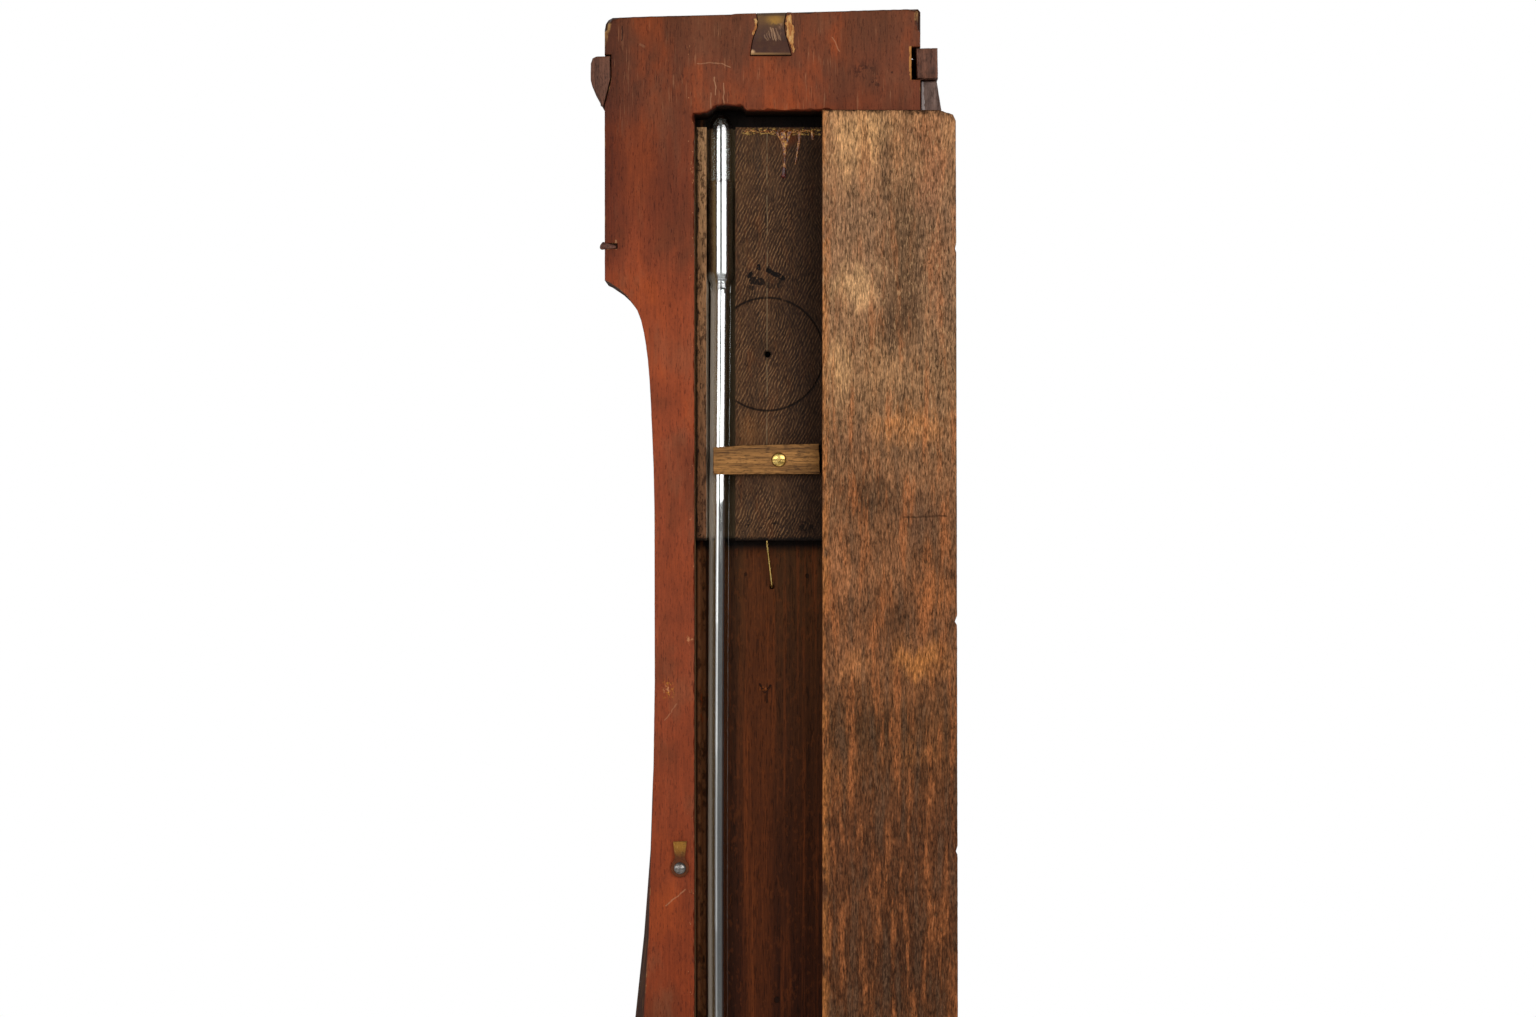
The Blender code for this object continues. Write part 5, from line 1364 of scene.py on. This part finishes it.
def make_mercury():
    """The mercury in the narrow bore, and the two pools in the bulb and the cup."""
    wide = WIDE_BORE + TOUCH
    top = [(BULB_END, 0.02)] + [(z, radius + TOUCH) for z, radius in NECK]
    cup = bore_foot(TOUCH) + [(CUP_END, 0.02)]
    bm = bmesh.new()
    rings = swept(bm, *limbs(top, cup), count=32)
    bm.faces.new(rings[0])
    bm.faces.new(rings[-1])
    stand_in("mercury_in_bore", "mercury_column", bm, SILVER, 50)
    for name, node, x, level, end, mover in (
        ("mercury_in_bulb", "mercury_bulb", LONG_X, BULB_LEVEL, BULB_END, "counterweight"),
        ("mercury_in_cup", "mercury_cup", SHORT_X, CUP_LEVEL, CUP_END, "float"),
    ):
        bm = bmesh.new()
        crown = [(0, level), (wide * 0.45, level - 0.12), (wide * 0.75, level - 0.45),
                 (wide * 0.93, level - 0.95), (wide, level - 1.6)]
        crown += [(wide, level - 1.6 - drop) for drop in (0.3, 0.8, 1.6, 3.0, 6.0)]
        crown += [(wide, end), (0, end)]
        lathe(bm, crown, (x, TUBE_Y, 0), (0, 0, 1), 48)
        pool = add(name, bm, SILVER, None, sharp=50)
        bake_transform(pool)
        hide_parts(node)


def make_float_threads():
    """The silk over the float wheel, and its two hanging ends."""
    hub = Vector((0, TUBE_Y, middle_of("float_pulley").z))
    radius, silk = abs(SHORT_X), 0.2 * MM
    bm = bmesh.new()
    turns = [math.pi * k / 24 for k in range(25)]
    path = [hub + radius * Vector((math.cos(t), 0, math.sin(t))) for t in turns]
    rings = swept(bm, path, [silk] * len(path), count=10)
    bm.faces.new(rings[0])
    bm.faces.new(rings[-1])
    stand_in("thread_over_wheel", "float_thread", bm, SILK, 60)
    for name, x, body, low in (
        ("thread_to_float", radius, "float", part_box("float")[1].z),
        ("thread_to_counterweight", -radius, "counterweight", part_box("counterweight")[1].z),
    ):
        bm = bmesh.new()
        ends = [Vector((x, TUBE_Y, hub.z)), Vector((x, TUBE_Y, low - 0.5 * MM))]
        rings = [ring(bm, p, silk, Vector((1, 0, 0)), Vector((0, 1, 0)), 10) for p in ends]
        bridge(bm, *rings)
        bm.faces.new(rings[0])
        bm.faces.new(rings[1])
        line = add(name, bm, SILK, None, sharp=60)
        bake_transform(line)


make_siphon()
make_mercury()
make_float_threads()

# ---------------------------------------------------------------- small detail


def screw_head(name, x, y, z, radius, height, turn, body):
    """A domed and slotted screw head that stands on a surface facing -Y, in millimetres."""
    bm = bmesh.new()
    profile = [(0, height), (radius * 0.45, height * 0.96), (radius * 0.8, height * 0.75),
               (radius * 0.96, height * 0.4), (radius, 0.0), (radius * 0.9, -0.2), (0, -0.2)]
    lathe(bm, profile, (x * MM, y * MM, z * MM), (0, -1, 0), 24)
    across = Vector((math.cos(turn), 0, math.sin(turn)))
    along = Vector((-math.sin(turn), 0, math.cos(turn)))
    half = radius * 0.14 * MM
    for side in (-1, 1):
        point = Vector((x, y, z)) * MM + across * half * side
        whole = bm.verts[:] + bm.edges[:] + bm.faces[:]
        bmesh.ops.bisect_plane(bm, geom=whole, plane_co=point, plane_no=across)
    floor = (y - height * 0.35) * MM
    for vert in bm.verts:
        off = Vector((vert.co.x - x * MM, 0, vert.co.z - z * MM))
        in_slot = abs(off.dot(across)) < half * 0.999 and abs(off.dot(along)) < radius * MM
        if in_slot and vert.co.y < floor:
            vert.co.y = floor
    add(name, bm, SCREW_BRASS, body, sharp=30)


def make_nail():
    """A cut nail driven in from the side, its head beaten out of shape and rusted over."""
    middle = middle_of("side_nail") / MM
    bm = bmesh.new()
    path, radii = [], []
    shape = ((62.2, 0.5), (63.4, 1.0), (64.8, 1.25), (66.4, 1.35), (67.2, 1.5), (67.8, 1.7), (68.3, 1.6),
             (68.6, 1.1))
    for k, (x, radius) in enumerate(shape):
        lump = hash_noise(x * MM, 0.2, 1.3, 7.0)
        path.append(Vector((x, middle.y + 0.15 * lump, middle.z + 0.35 * (k - 4) / 4 + 0.2 * lump)) * MM)
        radii.append(radius * (1 + 0.12 * lump) * MM)
    rings = swept(bm, path, radii, count=14)
    cap(bm, rings[0], path[0] + Vector((-0.2 * MM, 0, 0)))
    cap(bm, rings[-1], path[-1] + Vector((0.3 * MM, 0, 0)))
    stand_in("side_nail_rusted", "side_nail", bm, IRON, 70)


def make_hinge_screws():
    """Three screws in each door leaf."""
    for label in ("upper", "lower"):
        low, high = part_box(f"hinge_{label}_door_leaf")
        middle = (low.z + high.z) / 2 / MM
        for k, drop in enumerate((-14.0, 0.0, 14.0)):
            place = (low.x / MM + 3.6, low.y / MM, middle + drop)
            screw_head(f"hinge_{label}_screw_{k}", *place, 1.5, 0.35, 0.5 + k * 1.1, "door")


def run_of_glue(name, points, thick, material):
    """A drip down the inner board: points (x, z) and its half widths, in millimetres."""
    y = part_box("inner_board")[1].y
    bm = bmesh.new()
    path, radii = [], []
    for k in range(len(points) - 1):
        a, b = Vector(points[k]), Vector(points[k + 1])
        for j in range(6):
            at = a.lerp(b, j / 6)
            wave = hash_noise(at.x * MM, at.y * MM, 1.6, 3.0 + len(points))
            path.append(Vector((at.x * MM, y - 0.05 * MM, at.y * MM)))
            radii.append((thick[k] + (thick[k + 1] - thick[k]) * j / 6) * (1 + 0.6 * wave) * MM)
    path.append(Vector((points[-1][0] * MM, y - 0.05 * MM, points[-1][1] * MM)))
    radii.append(thick[-1] * MM)
    rings = swept(bm, path, radii, count=12)
    cap(bm, rings[0], path[0] + (path[0] - path[1]).normalized() * radii[0] * 0.7)
    cap(bm, rings[-1], path[-1] + (path[-1] - path[-2]).normalized() * radii[-1] * 0.9)
    for vert in bm.verts:
        vert.co.y = y + (vert.co.y - y) * 0.6
    add(name, bm, material, "case", sharp=60)


def make_glue():
    """Hide glue that ran from the joint at the top of the inner board and dried."""
    for name, points, thick in (
        ("glue_run_long", ((-8.6, -39.6), (-9.0, -43.0), (-9.3, -47.0), (-9.4, -51.0), (-9.2, -55.4)),
         (1.5, 1.2, 0.75, 0.55, 0.5)),
        ("glue_run_left", ((-6.0, -39.6), (-7.4, -42.0), (-8.6, -45.0)), (0.6, 0.5, 0.35)),
        ("glue_run_web", ((-11.6, -39.4), (-10.8, -42.4), (-9.9, -46.0)), (1.2, 0.8, 0.3)),
        ("glue_run_middle", ((-15.8, -39.8), (-15.5, -44.0), (-14.7, -49.0), (-13.9, -53.4)),
         (0.7, 0.6, 0.4, 0.2)),
        ("glue_run_right", ((-21.2, -39.6), (-21.5, -42.6)), (0.8, 0.5)),
    ):
        run_of_glue(name, points, thick, GLUE)
    run_of_glue("glue_bead", ((-9.1, -54.6), (-9.0, -57.0), (-8.9, -58.6)), (0.45, 0.9, 1.25), DARK_GLUE)
    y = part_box("inner_board")[1].y
    bm = bmesh.new()
    for k in range(90):
        along = k / 89
        off = hash_noise(along, 0.3, 0.004, 21.0)
        x = 7.6 - 30.0 * along + 0.5 * off
        z = -39.2 + 1.1 * hash_noise(along, 0.7, 0.006, 33.0)
        size = 0.28 + 0.34 * abs(hash_noise(along, 0.1, 0.003, 45.0))
        made = bmesh.ops.create_icosphere(bm, subdivisions=1, radius=size * MM)["verts"]
        tall = 0.8 + 0.5 * off
        for vert in made:
            vert.co = Vector((x * MM + vert.co.x * 1.3, y + vert.co.y * 0.7, z * MM + vert.co.z * tall))
    add("glue_crust", bm, GLUE, "case", sharp=70)


def numeral(name, text, size, place, turn, material):
    """A figure lying on a plate that faces -Y, turned clockwise as seen from the front."""
    curve = bpy.data.curves.new(name, "FONT")
    curve.body, curve.size = text, size * MM
    curve.align_x = curve.align_y = "CENTER"
    curve.extrude = 0.08 * MM / 2
    curve.offset = 0.012 * size * MM
    maker = bpy.data.objects.new(name, curve)
    bpy.context.scene.collection.objects.link(maker)
    mesh = bpy.data.meshes.new_from_object(maker)
    bpy.data.objects.remove(maker)
    bpy.data.curves.remove(curve)
    piece = bpy.data.objects.new(name, mesh)
    bpy.context.scene.collection.objects.link(piece)
    mesh.materials.clear()
    mesh.materials.append(material)
    piece.rotation_euler = Euler((math.pi / 2, turn, 0), "XYZ")
    piece.location = place
    bpy.context.view_layer.update()
    mesh.transform(piece.matrix_world)
    piece.matrix_world.identity()
    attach(piece, "case")


def black_wax():
    """The wax that fills engraved figures."""
    g = Graph("engraved_black_wax")
    dust = g.noise(0.8, detail=3, shift=4)
    g.colour = g.ramp(dust, (0.2, "#0d0c0a"), (0.9, "#2b2620"))
    g.bump(dust, 0.02)
    return g.finish(0.5 + dust * 0.2)


def round_figure(name, text, size, node, radius, degrees, wax):
    """A figure on a round plate, its foot towards the plate's middle; radius in millimetres."""
    centre, turn = middle_of(node), math.radians(degrees)
    across, up = math.sin(turn) * radius * MM, math.cos(turn) * radius * MM
    place = Vector((centre.x + across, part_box(node)[0].y - FIGURE_LIFT, centre.z + up))
    numeral(name, text, size, place, turn, wax)


def make_figures():
    """Inches round the dial, degrees down the thermometer and up the hygrometer's arc."""
    wax = black_wax()
    for inches, turn in ((28, -180), (29, -60), (30, 60)):
        round_figure(f"dial_figure_{inches}", str(inches), 10.5, "dial", 85.5, turn, wax)
    for tenth in (k for k in range(2, 30, 2) if k % 10):
        turn = -180 + TENTH_DEGREES * tenth
        round_figure(f"dial_tenth_{tenth}", str(tenth % 10), 5.2, "dial", 88.0, turn, wax)
    low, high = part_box("thermometer_scale")
    start = (low.z + high.z) / 2 - DEGREES_DOWN * MM
    for k in range(-5, 12):
        z = start + k * TEN_DEGREES * MM
        if not low.z + 0.02 < z < high.z - 0.03:
            continue
        for side, column in ((-1, "a"), (1, "b")):
            place = Vector((side * 0.0118, low.y - FIGURE_LIFT, z))
            numeral(f"degree_{column}_{k + 5}", str(30 + 10 * k), 3.4, place, 0.0, wax)
    for k, degrees in enumerate(range(-60, 61, 30)):
        text = str(abs(degrees) // 3)
        round_figure(f"hygrometer_figure_{k}", text, 3.0, "hygrometer_dial", 13.8, degrees, wax)


def thermometer_mercury():
    g = Graph("thermometer_mercury")
    cloud = g.noise(3, detail=2)
    g.colour = g.ramp(cloud, (0, "#c9cacb"), (1, "#e2e2e0"))
    return g.finish(0.12, Metallic=1.0)


def make_thermometer_thread():
    """The mercury in the thermometer: its bulb and its column."""
    x, y, _ = middle_of("thermometer_tube")
    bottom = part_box("thermometer_tube")[0].z / MM
    bm = bmesh.new()
    profile = [(0, bottom + 0.5), (1.5, bottom + 1.0), (2.2, bottom + 2.4), (2.1, bottom + 4.2),
               (1.0, bottom + 6.2), (0.45, bottom + 7.5), (0.45, bottom + 104), (0, bottom + 104.4)]
    lathe(bm, profile, (x, y, 0), (0, 0, 1), 20)
    add("thermometer_mercury_thread", bm, thermometer_mercury(), "case", sharp=50)


make_nail()
make_hinge_screws()
make_glue()
make_figures()
make_thermometer_thread()

# ---------------------------------------------------------------- floor, light and camera

FLOOR_RADIUS, FLOOR_GAP = 1.7, 0.0005  # in metres; the gap keeps the case off the floor
VIEW_FROM = Vector((-0.0023, 1.45, -0.2003))
VIEW_WIDTH = 0.651  # of the view, where the case's back is
SURROUND_LIGHT = 0.15  # the white surround's strength as a lamp; to the eye it is 1
AIM = (0, 0, -0.3)


def floor_material():
    g = Graph("pale_floor")
    dust = g.noise(40, detail=4, rough=0.6)
    g.bump(g.noise(1.5, detail=3), 0.02, 0.3)
    g.colour = g.ramp(dust, (0.2, "#eeedeb"), (0.8, "#f0efed"))
    return g.finish(0.7)


def make_floor():
    bm = bmesh.new()
    centre = bm.verts.new((0, 0, 0))
    loop = ring(bm, Vector((0, 0, 0)), FLOOR_RADIUS, Vector((1, 0, 0)), Vector((0, 1, 0)), 96)
    for k in range(len(loop)):
        bm.faces.new((centre, loop[k], loop[(k + 1) % len(loop)]))
    mesh = bpy.data.meshes.new("floor")
    bm.to_mesh(mesh)
    bm.free()
    mesh.materials.append(floor_material())
    floor = bpy.data.objects.new("floor", mesh)
    bpy.context.scene.collection.objects.link(floor)
    floor.location.z = cad_bounds[0][2] - FLOOR_GAP


def soft_light(name, place, target, size, power):
    """A rectangular lamp at place, turned towards target."""
    lamp = bpy.data.lights.new(name, "AREA")
    lamp.shape, lamp.size, lamp.size_y = "RECTANGLE", *size
    lamp.energy = power
    holder = bpy.data.objects.new(name, lamp)
    bpy.context.scene.collection.objects.link(holder)
    holder.location = place
    holder.rotation_euler = (Vector(target) - Vector(place)).to_track_quat("-Z", "Y").to_euler()


def make_world():
    """A plain white surround: pure white to the eye, dimmer as a light."""
    world = bpy.data.worlds.new("white_studio")
    bpy.context.scene.world = world
    world.use_nodes = True
    tree = world.node_tree
    tree.nodes.clear()
    output = tree.nodes.new("ShaderNodeOutputWorld")
    both = tree.nodes.new("ShaderNodeMixShader")
    seen = tree.nodes.new("ShaderNodeBackground")
    lit = tree.nodes.new("ShaderNodeBackground")
    seen.inputs[0].default_value = (1, 1, 1, 1)
    lit.inputs[0].default_value = (1, 1, 1, 1)
    lit.inputs[1].default_value = SURROUND_LIGHT
    tree.links.new(tree.nodes.new("ShaderNodeLightPath").outputs["Is Camera Ray"], both.inputs[0])
    tree.links.new(lit.outputs[0], both.inputs[1])
    tree.links.new(seen.outputs[0], both.inputs[2])
    tree.links.new(both.outputs[0], output.inputs[0])


def make_camera():
    camera = bpy.data.cameras.new("camera")
    camera.sensor_width = 36.0
    camera.lens = camera.sensor_width * VIEW_FROM.y / VIEW_WIDTH
    camera.clip_end = 20.0
    holder = bpy.data.objects.new("camera", camera)
    bpy.context.scene.collection.objects.link(holder)
    holder.location = VIEW_FROM
    holder.rotation_euler = Euler((math.pi / 2, 0, math.pi), "XYZ")
    bpy.context.scene.camera = holder


make_floor()
make_world()
make_camera()
soft_light("right_box", (-1.02, 1.62, 0.4), (0, 0, 0.4), (1.35, 1.2), 20.0)
for label, low, high, power in (  # the left light fades downwards
    ("main", -0.19, 0.85, 10.0), ("fade_a", -0.31, -0.19, 0.5), ("fade_b", -0.45, -0.31, 0.32),
    ("fade_c", -0.62, -0.45, 0.22), ("fade_d", -0.85, -0.62, 0.16),
):
    height = (low + high) / 2
    soft_light(f"left_{label}", (0.72, 1.75, height), (0, 0, height), (0.95, high - low), power)
soft_light("left_wash", (1.6, 0.9, 0.0), AIM, (1.0, 1.2), 8.0)
soft_light("front_key", (-1.0, -1.4, 0.5), (0, 0, -0.55), (1.0, 1.2), 16.0)
soft_light("front_fill", (1.2, -1.2, 0.9), (0, 0, -0.6), (0.9, 0.9), 12.0)

settings = bpy.context.scene.view_settings
settings.view_transform = "Standard"
settings.look = "None"
